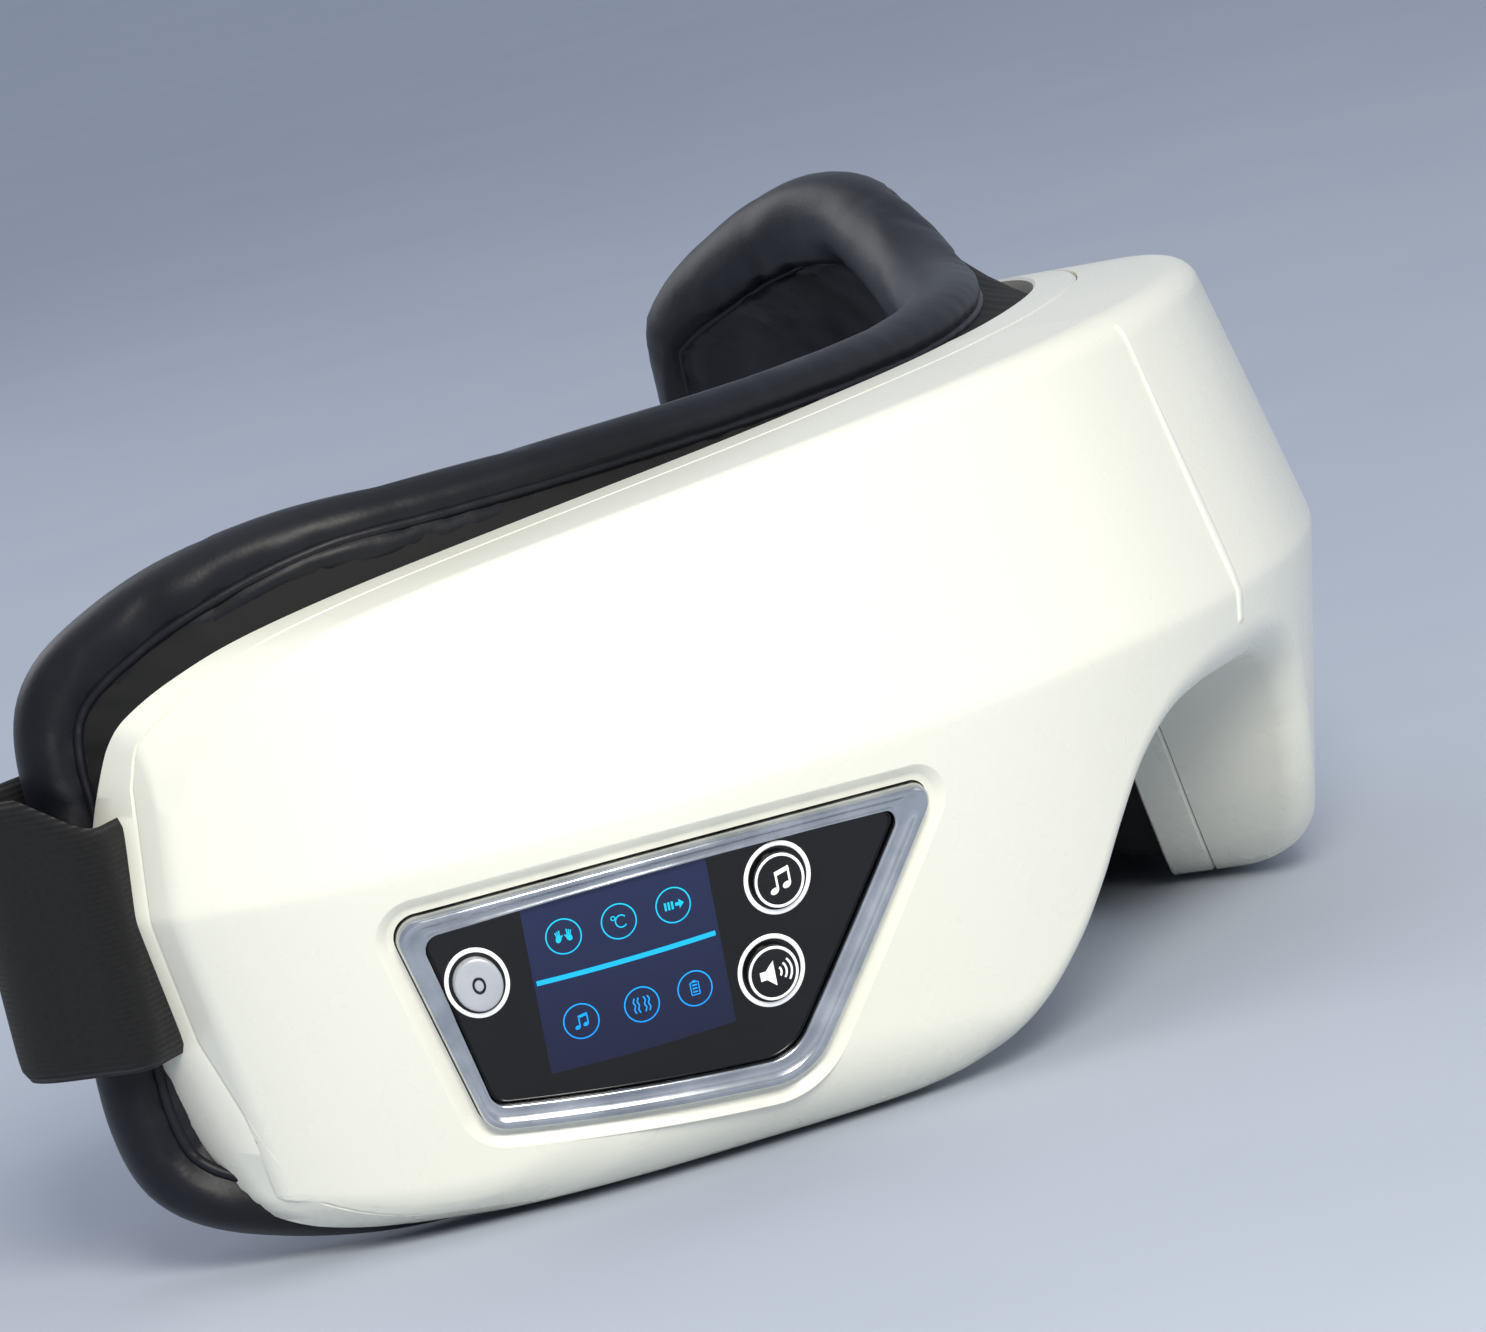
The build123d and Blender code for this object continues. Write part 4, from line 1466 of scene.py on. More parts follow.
@dataclass
class DisplaySigns(SignSheet):
    """The six lit round signs and the divider on the display."""

    left: float
    right: float
    low: float
    high: float

    def build(self, material: bpy.types.Material) -> None:
        """Builds the divider and the signs, all generic pictures.

        Args:
            material: its one finish.
        """
        wide, tall = self.right - self.left, self.high - self.low

        def at(u: float, v: float) -> tuple[float, float]:
            """Panel spot at shares u across and v up the display, which climbs a little."""
            return self.left + u * wide, self.low + v * tall + 0.018 * u * wide

        shapes = [Stroke.bar(at(0.02, 0.535), at(0.985, 0.535), 0.62)]
        radius = 2.05
        top = [at(0.205, 0.765), at(0.5, 0.765), at(0.795, 0.765)]
        low = [at(0.205, 0.26), at(0.53, 0.26), at(0.82, 0.26)]
        for centre in top + low:
            shapes.append(Stroke.arc(centre, radius, 0, 360, 0.16, 1.05))
        shapes += self.hands(top[0]) + self.degree(top[1]) + self.level(top[2])
        shapes += self.note(low[0], 1.25) + self.shake(low[1]) + self.cell(low[2])
        self.print_shapes("display_signs", shapes, -0.25, material, MASK_BODY, "display")

    def hands(self, c: Sequence[float]) -> list[np.ndarray]:
        """Two open hands seen from the side, as curved fingers.

        Args:
            c: the sign's centre on the panel.

        Returns:
            Outlines.
        """
        x, y = c
        shapes = []
        for side in (-1, 1):
            shapes.append(Stroke.blob((x + side * 0.62, y - 0.2), 0.34, 0.5, side * 20))
            for k, lean in enumerate((0.1, 0.34, 0.58)):
                shapes.append(Stroke.bar((x + side * (0.45 + 0.16 * k), y + 0.05),
                                         (x + side * (0.35 + lean), y + 0.85 - 0.1 * k), 0.15))
            shapes.append(Stroke.bar((x + side * 0.35, y - 0.15), (x + side * 0.12, y + 0.2), 0.15))
        return shapes

    def degree(self, c: Sequence[float]) -> list[np.ndarray]:
        """The sign for degrees of temperature."""
        x, y = c
        return [Stroke.arc((x - 0.62, y + 0.52), 0.24, 0, 360, 0.13),
                Stroke.arc((x + 0.28, y - 0.05), 0.68, 40, 320, 0.15, 1.1)]

    def level(self, c: Sequence[float]) -> list[np.ndarray]:
        """Level bars with an arrow to the right.

        Args:
            c: the sign's centre on the panel.

        Returns:
            Outlines.
        """
        x, y = c
        bars = [Stroke.bar((x - 0.95 + 0.42 * k, y - 0.5), (x - 0.95 + 0.42 * k, y + 0.5), 0.26)
                for k in range(3)]
        head = [Stroke.bar((x + 0.25, y), (x + 0.75, y), 0.42),
                np.array([(x + 0.7, y - 0.6), (x + 1.3, y), (x + 0.7, y + 0.6)])]
        return bars + head

    def shake(self, c: Sequence[float]) -> list[np.ndarray]:
        """Zigzags on both sides, for vibration.

        Args:
            c: the sign's centre on the panel.

        Returns:
            Outlines.
        """
        x, y = c
        shapes = []
        for side in (-1, 1):
            for offset in (0.3, 0.78):
                zig = [(x + side * (offset + 0.2 * (k % 2)), y + 0.95 - 0.48 * k) for k in range(5)]
                shapes += [Stroke.bar(a, b, 0.17) for a, b in zip(zig, zig[1:])]
        return shapes

    def cell(self, c: Sequence[float]) -> list[np.ndarray]:
        """A standing battery with three bars.

        Args:
            c: the sign's centre on the panel.

        Returns:
            Outlines.
        """
        x, y = c
        w, h = 0.5, 0.78
        corner = [(x - w, y - h), (x + w, y - h), (x + w, y + h), (x - w, y + h), (x - w, y - h)]
        shapes = [Stroke.bar(a, b, 0.13) for a, b in zip(corner, corner[1:])]
        shapes += [Stroke.bar((x - 0.3, y + k), (x + 0.3, y + k), 0.2) for k in (-0.42, 0.0, 0.42)]
        return shapes + [Stroke.bar((x - 0.22, y + h + 0.15), (x + 0.22, y + h + 0.15), 0.17)]


@dataclass
class KeySigns(SignSheet):
    """The printed pictures on the music and volume keys."""

    music: Sequence[float]
    volume: Sequence[float]

    def build(self, material: bpy.types.Material) -> None:
        """Builds both keys' pictures, each riding on its key.

        Args:
            material: its one finish.
        """
        self.print_shapes("music_key_sign", self.note(self.music, 2.0), 0.67, material,
                          Key.MUSIC.value, "key_black")
        x, y = self.volume
        horn = np.array([(x - 1.7, y - 0.55), (x - 0.95, y - 0.55), (x + 0.15, y - 1.6),
                         (x + 0.15, y + 1.6), (x - 0.95, y + 0.55), (x - 1.7, y + 0.55),
                         (x - 1.7, y)])
        waves = [Stroke.arc((x + 0.1, y), r, -38, 38, 0.26) for r in (0.85, 1.5, 2.15)]
        self.print_shapes("volume_key_sign", [horn, *waves], 0.67, material, Key.VOLUME.value,
                          "key_black")


# ------------------------------------------------------------------ soft goods
@dataclass(frozen=True)
class ClothRun:
    """One short cloth simulation: pinned seams, air pressure and cloth cut a little too long."""

    pressure: float
    spare: float
    frames: int
    reach_mm: float
    bending: float = 0.15

    def settle(self, piece: bpy.types.Object, pinned: np.ndarray) -> None:
        """Runs the simulation on a piece and keeps its result.

        Args:
            piece: the mesh to simulate.
            pinned: indices of the vertices that are sewn down.
        """
        scene = bpy.context.scene
        pins = piece.vertex_groups.new(name="sewn")
        pins.add(pinned.tolist(), 1.0, "REPLACE")
        before = self.positions(piece.data)
        cloth = piece.modifiers.new("cloth", "CLOTH")
        s = cloth.settings
        s.quality, s.mass, s.air_damping = 6, 0.15, 2.0
        s.tension_stiffness = s.compression_stiffness = 25.0
        s.shear_stiffness, s.bending_stiffness = 8.0, self.bending
        s.use_pressure, s.uniform_pressure_force = True, self.pressure
        s.shrink_min = s.shrink_max = -self.spare
        s.vertex_group_mass = "sewn"
        s.effector_weights.gravity = 0.0
        cloth.collision_settings.use_collision = False
        cloth.point_cache.frame_end = self.frames
        for frame in range(1, self.frames + 1):
            scene.frame_set(frame)
        bake_modifiers(piece)
        scene.frame_set(1)
        moved = self.positions(piece.data) - before
        far = np.linalg.norm(moved, axis=1)
        limit = self.reach_mm * MM
        moved *= (np.tanh(far / limit) * limit / np.maximum(far, 1e-9))[:, None]
        piece.data.vertices.foreach_set("co", (before + moved).ravel())
        piece.data.update()
        LOG.info("%s settled, %.2f mm at most", piece.name, far.max() / MM)

    @staticmethod
    def positions(mesh: bpy.types.Mesh) -> np.ndarray:
        """A mesh's vertex positions as an n by 3 array.

        Args:
            mesh: the mesh to read.

        Returns:
            n by 3 positions in metres.
        """
        flat = np.empty(len(mesh.vertices) * 3)
        mesh.vertices.foreach_get("co", flat)
        return flat.reshape(-1, 3)


@dataclass
class FaceCushion:
    """The leather roll round the face, its skirt, the piping and the soft membrane inside."""

    skin: Skin
    housing: Housing
    # the roll's section, how far it stands behind the ridge, and its front-view outline
    radius: float = 5.8
    rear: float = 47.0
    temple_rear: float = 64.6
    outline: tuple = ((0, 84.5), (35, 85.3), (70, 86.2), (83, 86.3), (91.5, 83.6), (97.6, 78.6),
                      (101.4, 72.5), (103, 65), (103, 54), (103, 42), (103.2, 30), (103.2, 20),
                      (101.6, 11.5), (97.9, 5.6), (92, 1.8), (85, 0.1), (75, 0.1), (66, 0.1),
                      (56, 0.1), (47, 0.6), (39, 3.6), (33, 8.8), (27, 16.5), (20, 25.4),
                      (10, 32.2), (0, 34))
    # length round the loop, mesh counts round it and round the section, and the seams' angles
    girth: float = 620.0
    around: int = 560
    ring: int = 30
    top_seam: float = -80.0
    side_seam: float = -50.0
    inner_seam: float = -162.0
    # the free wing's flex, and where along x each part of it starts and how far it takes
    flare_back: float = 16.5
    flare_up: float = 9.0
    back_flare: tuple = (8, 84)
    up_flare: tuple = (48, 40)
    # the soft membrane: rows of its mesh, its depth behind the ridge and its rearmost y
    membrane_rows: int = 26
    floor_depth: float = 36.5
    floor_rear: float = 50.0

    def loop(self) -> tuple[np.ndarray, np.ndarray, np.ndarray]:
        """The roll's centreline, clockwise from the top, with its section's two axes.

        Returns:
            Centres, outward directions and backward directions, n by 3 each.
        """
        right = smooth_path(self.outline, 10)
        path = np.vstack([right, (right[::-1] * np.array([-1, 1]))[1:]])
        flat = resample(path, self.around + 1)[:-1]
        ahead = np.roll(flat, -1, axis=0) - np.roll(flat, 1, axis=0)
        ahead /= np.linalg.norm(ahead, axis=1)[:, None]
        out2 = np.stack([-ahead[:, 1], ahead[:, 0]], axis=1)
        centre2 = flat - out2 * self.radius
        x, z = centre2.T
        a = self.skin.ridge_y(flat[:, 0]) + self.rear - self.radius
        b = self.temple_rear - self.radius
        y = -3.0 * np.log(np.exp(-a / 3.0) + np.exp(-b / 3.0))
        low = np.clip((93 - z) / 24, 0.15, 1)
        lift = self.flare_up * self.flare(x, *self.up_flare) * np.clip(z / 80, 0, 1) ** 2
        centre = np.stack([x, y + self.flare_back * self.flare(x, *self.back_flare) * low,
                           z + lift], axis=1)
        along = np.roll(centre, -1, axis=0) - np.roll(centre, 1, axis=0)
        along /= np.linalg.norm(along, axis=1)[:, None]
        out = np.stack([out2[:, 0], np.zeros(len(x)), out2[:, 1]], axis=1)
        out -= along * (out * along).sum(1)[:, None]
        out /= np.linalg.norm(out, axis=1)[:, None]
        back = np.cross(along, out)
        back *= np.sign(back[:, 1])[:, None]
        return centre, out, back

    @staticmethod
    def flare(x: np.ndarray, start: float, span: float) -> np.ndarray:
        """How much of the free wing's flex applies at x, from start over a span."""
        t = np.clip((x - start) / span, 0, 1)
        return t * t * (3 - 2 * t)

    def outer_seam(self) -> np.ndarray:
        """The outer seam's angle at each section, further round at the ends."""
        __, out, __ = self.loop()
        return self.side_seam + (self.top_seam - self.side_seam) * np.abs(out[:, 2]) ** 1.5

    def ray(self, degrees: float | np.ndarray) -> np.ndarray:
        """Unit directions out of the roll's centreline at one angle, or one each.

        Args:
            degrees: the angle, out of the roll towards its rear.

        Returns:
            n by 3 unit directions.
        """
        __, out, back = self.loop()
        a = np.radians(np.broadcast_to(degrees, len(out)))[:, None]
        return np.cos(a) * out + np.sin(a) * back

    def at_angle(self, degrees: float | np.ndarray, reach: float) -> np.ndarray:
        """Points of the roll's surface at one angle round its section."""
        return self.loop()[0] + reach * self.ray(degrees)

    def gathers(self, seed: int, low_mm: float, high_mm: float) -> np.ndarray:
        """A smooth uneven ripple round the loop, between -1 and 1.

        Args:
            seed: its own seed.
            low_mm: shortest gather.
            high_mm: longest gather.

        Returns:
            One height for each section.
        """
        rng = np.random.default_rng(seed)
        u = np.linspace(0, 2 * math.pi, self.around, endpoint=False)
        waves = [np.sin(round(self.girth / w) * u + p)
                 for w, p in zip(rng.uniform(low_mm, high_mm, 7), rng.uniform(0, 6.28, 7))]
        total = np.sum(waves, axis=0)
        return total / np.abs(total).max()

    def build(self, leather: bpy.types.Material, base: bpy.types.Material) -> None:
        """Builds the roll, skirt, piping and membrane.

        Args:
            leather: the cover's leather.
            base: the finish of the band that the cover is sewn to, near-black and matt as painted
                shade between the rim and the roll.
        """
        roll = self.roll(leather)
        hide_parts("face_cushion")
        # the band wears a near-black matt finish: painted shade between the rim and the roll
        skirt = self.skirt(base)
        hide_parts("cushion_frame")
        self.piping("cushion_piping", self.outer_seam(), 0.7, leather)
        self.piping("membrane_piping", self.inner_seam, 0.6, leather)
        membrane = self.membrane(leather)
        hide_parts("face_liner")

    def roll(self, leather: bpy.types.Material) -> bpy.types.Object:
        """Builds the stuffed roll, gathered along both its seams.

        Args:
            leather: the cover's leather.

        Returns:
            The new piece.
        """
        centre = self.loop()[0]
        first = self.outer_seam()
        inner_turn = (self.inner_seam - first) % 360
        inner = self.ring - 8
        ripple = self.gathers(SEED, 4.5, 9.0)
        rows = []
        for k in range(self.ring):
            if k <= inner:
                angle = first + inner_turn * k / inner
            else:
                angle = first + inner_turn + (360 - inner_turn) * (k - inner) / (self.ring - inner)
            gap = np.minimum(abs(self.turn(angle, first)), abs(self.turn(angle, self.inner_seam)))
            dent = np.exp(-(gap / 0.3) ** 2)
            near = np.exp(-(gap / 0.75) ** 2)
            reach = self.radius * (1 - 0.16 * dent) + 0.16 * near * (1 - dent) * ripple
            rows.append(centre + reach[:, None] * self.ray(angle))
        points = np.stack(rows, axis=1).reshape(-1, 3)
        piece = mesh_piece("cushion_roll", points,
                           grid_faces(self.around, self.ring, closed_rows=True,
                                      closed_columns=True), leather)
        face_out(piece)
        sewn = np.concatenate([np.arange(self.around) * self.ring + k for k in (0, inner)])
        stuffing = ClothRun(pressure=3.0, spare=0.018, frames=20, reach_mm=0.8, bending=0.6)
        stuffing.settle(piece, sewn)
        return piece

    @staticmethod
    def turn(angle: np.ndarray, seam: float | np.ndarray) -> np.ndarray:
        """Signed turn, in radians, between two angles in degrees."""
        return np.radians((angle - seam + 180) % 360 - 180)

    def skirt(self, leather: bpy.types.Material) -> bpy.types.Object:
        """Builds the puckered band between the rim and the roll's outer seam.

        Args:
            leather: the band's finish, near-black and matt as painted shade.

        Returns:
            The new piece.
        """
        seam = self.at_angle(self.outer_seam(), self.radius * 0.84)
        rim = self.matched(self.housing.rim_ring(2.7, 1.6), seam)
        ripple = self.gathers(SEED + 1, 4.0, 8.0)
        wide = self.gathers(SEED + 2, 14.0, 40.0)
        __, out, __ = self.loop()
        rows = []
        for t in np.linspace(0, 1, 12):
            control = rim + np.array([0.0, 2.6, 0.0])
            point = (1 - t) ** 2 * rim + 2 * t * (1 - t) * control + t * t * seam
            lift = (0.42 * ripple * t ** 1.5 + 0.3 * wide * math.sin(math.pi * t)
                    + 0.6 * math.sin(math.pi * t) ** 2)
            rows.append(point + out * lift[:, None])
        inward = rows[0] - out * 1.2 + np.array([0.0, -1.5, 0.0])
        points = np.stack([inward, *rows], axis=0).reshape(-1, 3)
        return mesh_piece("cushion_skirt", points,
                          grid_faces(len(rows) + 1, self.around, closed_columns=True), leather)

    def matched(self, ring: np.ndarray, other: np.ndarray) -> np.ndarray:
        """Points of a ring that lie nearest another ring's points, in the same order.

        Args:
            ring: n by 3 points in order.
            other: the points to match.

        Returns:
            The matching points.
        """
        fine = resample(np.vstack([ring, ring[:1]]), 6000)[:-1]
        n = len(fine)
        first = ((fine[:, [0, 2]] - other[0, [0, 2]]) ** 2).sum(1).argmin()
        fine = np.roll(fine, -first, axis=0)
        guess = np.empty(len(other))
        for k, spot in enumerate(other):
            window = (np.arange(-500, 501) + int(k * n / len(other))) % n
            guess[k] = window[((fine[window][:, [0, 2]] - spot[[0, 2]]) ** 2).sum(1).argmin()]
        guess = np.unwrap(guess * 2 * math.pi / n)
        kernel = np.hanning(13) / np.hanning(13).sum()
        drift = guess - np.linspace(0, 2 * math.pi, len(other), endpoint=False)
        drift = np.convolve(np.r_[drift[-6:], drift, drift[:6]], kernel, "valid")
        even = np.linspace(0, 2 * math.pi, len(other), endpoint=False)
        index = (drift + even) * n / (2 * math.pi)
        return fine[np.rint(index).astype(int) % n]

    def piping(self, name: str, angle: float | np.ndarray, thick: float,
               leather: bpy.types.Material) -> None:
        """Builds a thin cord of leather sewn into one seam.

        Args:
            name: the piece's name.
            angle: the seam's angle.
            thick: the cord's radius.
            leather: the cover's leather.
        """
        centre, out, back = self.loop()
        ray = self.ray(angle)
        along = np.cross(out, back)
        side = np.cross(along, ray)
        ripple = self.gathers(SEED + 3, 3.0, 5.0)
        middle = centre + ray * (self.radius * 0.86 + 0.12 * ripple)[:, None]
        rows = [middle + thick * (math.cos(t) * ray + math.sin(t) * side)
                for t in np.linspace(0, 2 * math.pi, 10, endpoint=False)]
        piece = mesh_piece(name, np.vstack(rows),
                           grid_faces(len(rows), self.around, closed_rows=True,
                                      closed_columns=True), leather)
        face_out(piece)

    def membrane(self, leather: bpy.types.Material) -> bpy.types.Object:
        """Builds the soft recessed cover inside the roll, slack and wrinkled.

        Args:
            leather: the cover's leather.

        Returns:
            The new piece.
        """
        start = self.at_angle(self.inner_seam, self.radius * 0.86)
        x = np.clip(start[:, 0] * 0.84, -78, 78)
        deep = (np.minimum(self.skin.ridge_y(x) + self.floor_depth, self.floor_rear)
                + self.flare_back * self.flare(x, *self.back_flare) * 0.9)
        end = np.stack([x, deep, 47 + 10 * np.exp(-(x / 26) ** 2)], axis=1)
        rows = []
        for t in np.linspace(0, 1, self.membrane_rows):
            point = start + (end - start) * t
            point[:, 1] = end[:, 1] + (start[:, 1] - end[:, 1]) * (1 - t) ** 2.6
            rows.append(point)
        points = np.stack(rows).reshape(-1, 3)
        piece = mesh_piece("cushion_membrane", points,
                           grid_faces(len(rows), self.around, closed_columns=True), leather)
        last = (self.membrane_rows - 1) * self.around
        sewn = np.r_[0:self.around, last:last + self.around]
        slack = ClothRun(pressure=-1.5, spare=0.10, frames=24, reach_mm=2.4, bending=0.4)
        slack.settle(piece, sewn)
        thick = piece.modifiers.new("thick", "SOLIDIFY")
        thick.thickness, thick.offset = 1.0 * MM, 0.0
        bake_modifiers(piece)
        return piece


@dataclass
class HeadStrap:
    """The woven elastic band from one temple round the back to the other."""

    # plan of the band: the strap bar, the temple's side, and the turn to the back of the head
    bar_x: float = 99.0
    bar_y: float = 49.0
    side_x: float = 109.5
    turn_y: float = 71.3
    bend_x: float = 58.0
    back_y: float = 56.5
    thick: float = 1.8
    low: float = 28.0
    high: float = 62.0
    front_high: float = 57.0
    # where the band's top edge drops to front_high: ahead of taper_y, outside taper_x
    taper_y: float = 58.0
    taper_run: float = 9.0
    taper_x: float = 96.0
    across: int = 26

    def route(self) -> np.ndarray:
        """The band's centreline in plan, from the left bar to the right one.

        Returns:
            n by 2 plan points.
        """
        corners = [(self.bar_x, self.bar_y, 0), (self.side_x, self.bar_y, 2.5),
                   (self.side_x, self.turn_y, 8.5), (self.bend_x, self.back_y, 40.0),
                   (0.0, self.back_y, 0)]
        path = [np.array(corners[0][:2])]
        for before, here, after in zip(corners, corners[1:], corners[2:]):
            p, q, r = (np.array(c[:2], float) for c in (before, here, after))
            u, v = (p - q) / np.linalg.norm(p - q), (r - q) / np.linalg.norm(r - q)
            half = math.acos(u @ v) / 2
            cut = here[2] / math.tan(half)
            t = np.linspace(0, 1, 16)[:, None]
            a, b = q + u * cut, q + v * cut
            path.extend((1 - t) ** 2 * a + 2 * t * (1 - t) * q + t * t * b)
        path.append(np.array(corners[-1][:2]))
        right = resample(np.array(path), 200)
        return np.vstack([right * np.array([-1, 1]), right[::-1][1:]])

    def build(self, webbing: bpy.types.Material) -> None:
        """Builds the band, its rounded edges and the sewn ends.

        Args:
            webbing: the band's elastic.
        """
        path = self.route()
        along = np.gradient(path, axis=0)
        along /= np.linalg.norm(along, axis=1)[:, None]
        side = np.stack([-along[:, 1], along[:, 0]], axis=1)
        flat = np.linspace(-1, 1, self.across)
        section = [(s, 1.0 * (1 - abs(s) ** 14) ** 0.5) for s in flat]
        section += [(s, -h) for s, h in section[::-1][1:-1]]
        drop = np.clip((self.taper_y - path[:, 1]) / self.taper_run, 0, 1)
        drop *= np.abs(path[:, 0]) > self.taper_x
        high = self.high - (self.high - self.front_high) * drop
        step = np.arange(len(path))
        ripple = 0.12 * np.sin(step * 0.11) + 0.06 * np.sin(step * 0.43)
        rows = []
        for s, h in section:
            z = self.low + (high - self.low) * (s + 1) / 2
            p = path + side * (h * self.thick / 2 + ripple * 0.3)[:, None]
            rows.append(np.stack([p[:, 0], p[:, 1], z], axis=1))
        count = len(rows)
        points = np.stack(rows, axis=1).reshape(-1, 3)
        faces = grid_faces(len(path), count, closed_columns=True)
        faces += [tuple(range(count)), tuple(range(len(points) - count, len(points)))[::-1]]
        band = mesh_piece("strap_band", points, faces, webbing)
        face_out(band)
        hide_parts("head_strap")


# ------------------------------------------------------------------ studio
@dataclass
class Studio:
    """Floor, soft lights, surroundings and the camera."""

    target: tuple = (-38.25, 0.0, 51.79)
    azimuth: float = 60.25
    elevation: float = 8.88
    roll: float = 13.75
    distance: float = 935.48
    scale: float = 8.32
    frame_px: tuple = (1486, 1332)
    sensor: float = 36.0

    def camera(self) -> None:
        """Places the camera at the view of the product shot."""
        a, e, r = (math.radians(v) for v in (self.azimuth, self.elevation, self.roll))
        look = Vector((math.sin(a) * math.cos(e), math.cos(a) * math.cos(e), -math.sin(e)))
        right = Vector((math.cos(a), -math.sin(a), 0))
        up = right.cross(look)
        tilted_right = right * math.cos(r) - up * math.sin(r)
        tilted_up = up * math.cos(r) + right * math.sin(r)
        data = bpy.data.cameras.new("product_camera")
        camera = bpy.data.objects.new("product_camera", data)
        bpy.context.scene.collection.objects.link(camera)
        data.sensor_width = self.sensor
        data.lens = self.sensor * self.distance * self.scale / self.frame_px[0]
        place = (Vector(self.target) - Vector(DATUM) - look * self.distance) * MM
        basis = Matrix((tilted_right, tilted_up, -look)).transposed()
        camera.matrix_world = Matrix.Translation(place) @ basis.to_4x4()
        data.clip_start, data.clip_end = 0.05, 20.0
        bpy.context.scene.camera = camera

    def area(self, name: str, place: Sequence[float], aim: Sequence[float], size: float,
             power: float, colour: str = "FFFFFF") -> None:
        """Adds a square softbox at place, in metres, facing aim.

        Args:
            name: the light's name.
            place: its place.
            aim: where it faces.
            size: its side.
            power: its watts.
            colour: its hex colour.
        """
        data = bpy.data.lights.new(name, "AREA")
        data.size, data.energy, data.color = size, power, linear(colour)[:3]
        lamp = bpy.data.objects.new(name, data)
        bpy.context.scene.collection.objects.link(lamp)
        lamp.location = place
        lamp.rotation_mode = "QUATERNION"
        lamp.rotation_quaternion = (Vector(aim) - Vector(place)).to_track_quat("-Z", "Y")

    def build(self) -> None:
        """Builds the floor, the surroundings and the lights."""
        t = Tree("paper_sweep_pale")
        t.surface(Base_Color=t.ramp(t.noise(60.0, 2.0), [(0.3, "B5BCCA"), (0.7, "B8BFCC")]),
                  Roughness=0.85)
        mesh = bpy.data.meshes.new("floor")
        s = 3.0
        mesh.from_pydata([(-s, -s, 0), (s, -s, 0), (s, s, 0), (-s, s, 0)], [], [(0, 1, 2, 3)])
        mesh.materials.append(t.material)
        floor = bpy.data.objects.new("floor", mesh)
        bpy.context.scene.collection.objects.link(floor)
        floor.location.z = -0.0006
        world = bpy.data.worlds.new("soft_room")
        bpy.context.scene.world = world
        world.use_nodes = True
        back = world.node_tree.nodes["Background"]
        back.inputs["Color"].default_value = linear("C3CBD9")
        back.inputs["Strength"].default_value = 0.78
        bpy.context.scene.view_settings.view_transform = "Standard"
        self.area("key_softbox", (-0.78, -0.62, 0.66), (-0.05, -0.02, 0.05), 0.4, 11.5, "FFFBEE")
        self.area("top_softbox", (-0.1, 0.15, 1.0), (0, 0, 0.05), 0.8, 1.0)
        self.area("front_fill", (0.45, -0.9, 0.35), (0.03, -0.02, 0.04), 0.5, 0.45, "FFFDF6")
        self.area("rear_rim", (0.35, 0.9, 0.55), (0, 0.02, 0.06), 0.5, 1.6)


NODE_FINISHES = {
    "key_switches": "dark", "panel_board": "board", "control_board": "board",
    "display_module": "dark", "battery_cell": "foil", "charging_socket": "dark",
    "left_speaker": "cone", "right_speaker": "cone", "left_vibration_motor": "steel",
    "right_vibration_motor": "steel", "left_vibration_weight": "sintered",
    "right_vibration_weight": "sintered", "pump_motor": "steel", "pump_head": "nylon",
    "pump_rotor": "sintered", "valve_body": "nylon", "valve_plunger": "steel",
    "valve_spring": "steel", "left_airbag": "film", "right_airbag": "film",
    "left_heating_film": "amber", "right_heating_film": "amber", "left_air_hose": "silicone",
    "right_air_hose": "silicone", "housing_screws": "zinc", "left_strap_bar": "steel",
    "right_strap_bar": "steel", "strap_slider": "dark"}


def dress_nodes(nodes: dict[str, bpy.types.Object],
                finishes: dict[str, bpy.types.Material]) -> None:
    """Gives every CAD node that still shows its finish."""
    for name, node in nodes.items():
        if not node.hide_render:
            node.data.materials.clear()
            node.data.materials.append(finishes[NODE_FINISHES[name]])
            LOG.info("CAD node %s dressed in %s", name, NODE_FINISHES[name])


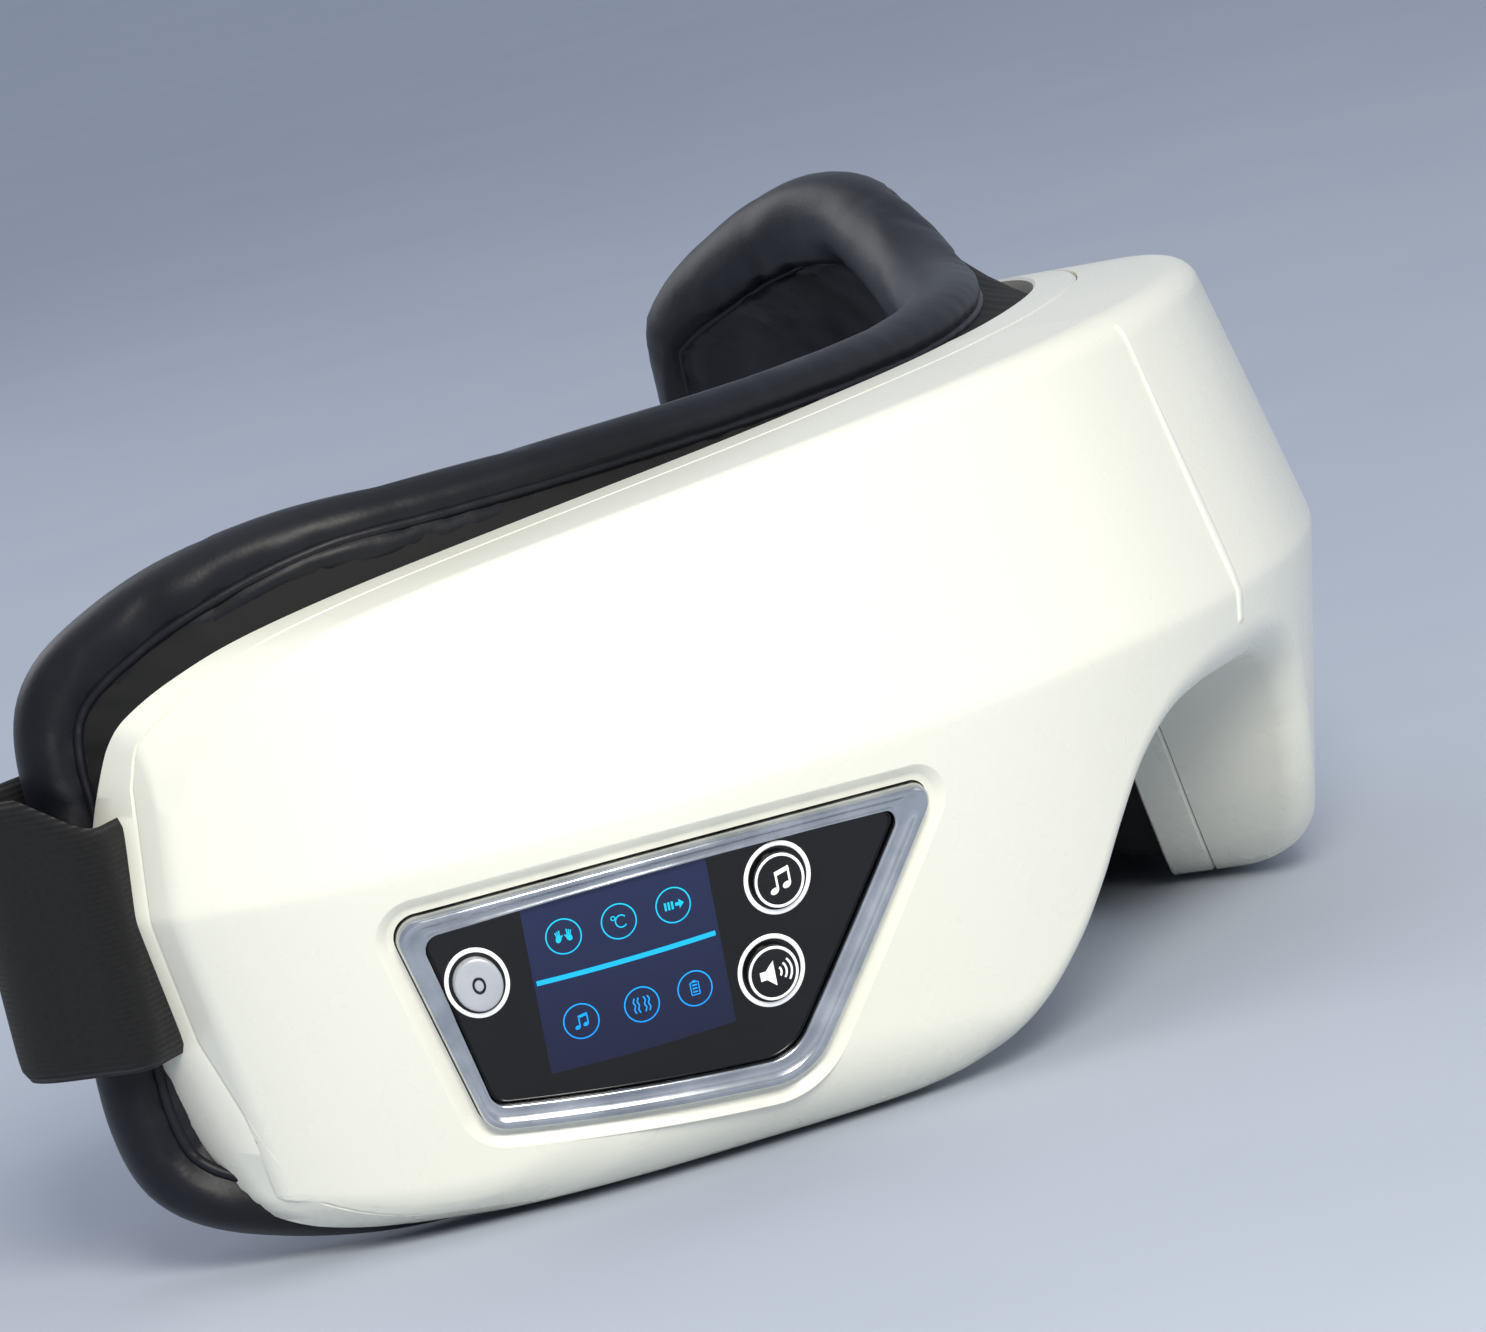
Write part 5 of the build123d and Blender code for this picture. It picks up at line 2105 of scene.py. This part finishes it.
def main() -> None:
    """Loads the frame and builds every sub-assembly in order."""
    logging.basicConfig(level=logging.INFO, format="%(name)s: %(message)s")
    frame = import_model()
    studio = Studio()
    studio.camera()
    studio.build()
    finishes = {
        # the housing's plastic, and a lighter, glossier shot of it for the trim, lighter partly as
        # its own plastic and partly as a painted highlight down the ridge
        "shell": MouldedAbs().build(),
        "trim": MouldedAbs("abs_moulded_trim", "F7F6EA", "F0EEDF", 0.22).build(),
        "bezel": PlatedTrim().build(),
        "window": PrintedAcrylic().build(),
        # the display's navy glow, its brighter signs, and the white ink round the keys, whose glow
        # is painted light
        "display": LitPrint("display_backlit_navy", "0E1430", "1A2348", 0.28).build(),
        "sign": LitPrint("display_segment_lit", "0A6AE0", "08B8C4", 0.75).build(),
        # the ink's emission is a painted glow: printed ink gives off no light of its own
        "print": LitPrint("ink_white_painted_glow", "F4F4F4", "FFFFFF", 0.25).build(),
        # blasted zinc: a pale soft silver cap
        "key_metal": PlainMoulding("zinc_cast_blasted", "DCDDE0", 0.45, 0.6, 0.35).build(),
        # gloss black caps that melt into the window
        "key_black": PlainMoulding("abs_moulded_black", "101012", 0.22).build(),
        "leather": CoatedLeather().build(),
        "webbing": WovenElastic().build(),
        # the band between the rim and the roll: flat black, no gloss, painted shade so the roll
        # stands off the rim
        "band_painted_shade": PlainMoulding("band_black_painted_shade", "07070A", 0.8).build(),
        # drawn steel: bright grey cans, bars and spring
        "steel": PlainMoulding("steel_drawn", "A7A9AD", 0.3, 1.0).build(),
        # acetal: waxy black slider and sockets
        "dark": PlainMoulding("acetal_moulded_black", "17171A", 0.5).build(),
        # nylon: dull dark grey pump and valve bodies
        "nylon": PlainMoulding("nylon_moulded_grey", "2A2A2D", 0.55).build(),
        # sintered tungsten: dull, grainy, heavy grey
        "sintered": PlainMoulding("tungsten_sintered", "6C6C6E", 0.5, 1.0, 0.3).build(),
        # zinc plate: light cool screws
        "zinc": PlainMoulding("steel_zinc_plated", "B4B6BA", 0.35, 1.0).build(),
        # solder mask: deep green, half gloss
        "board": PlainMoulding("glass_epoxy_solder_masked", "0E3B22", 0.4).build(),
        # laminated foil: the silver battery pouch
        "foil": PlainMoulding("aluminium_foil_laminated", "A9ABB0", 0.32, 1.0).build(),
        # pressed pulp: dead matt speaker cones
        "cone": PlainMoulding("paper_pulp_pressed", "1B1B1C", 0.8).build(),
        # welded film: greyish airbags, a little glossy
        "film": PlainMoulding("polyurethane_film_welded", "8F8F88", 0.4).build(),
        # polyimide: amber heating films
        "amber": PlainMoulding("polyimide_film_etched", "8A4C14", 0.35).build(),
        # silicone: milky soft-gloss hoses
        "silicone": PlainMoulding("silicone_extruded", "D2D2C8", 0.45).build(),
    }
    skin = Skin()
    panel = ControlPanel(skin)
    housing = Housing(skin)
    housing.build(finishes["shell"], finishes["trim"], panel)
    panel.build(finishes)
    FaceCushion(skin, housing).build(finishes["leather"], finishes["band_painted_shade"])
    HeadStrap().build(finishes["webbing"])
    dress_nodes(frame["nodes"], finishes)


if __name__ == "__main__":
    main()
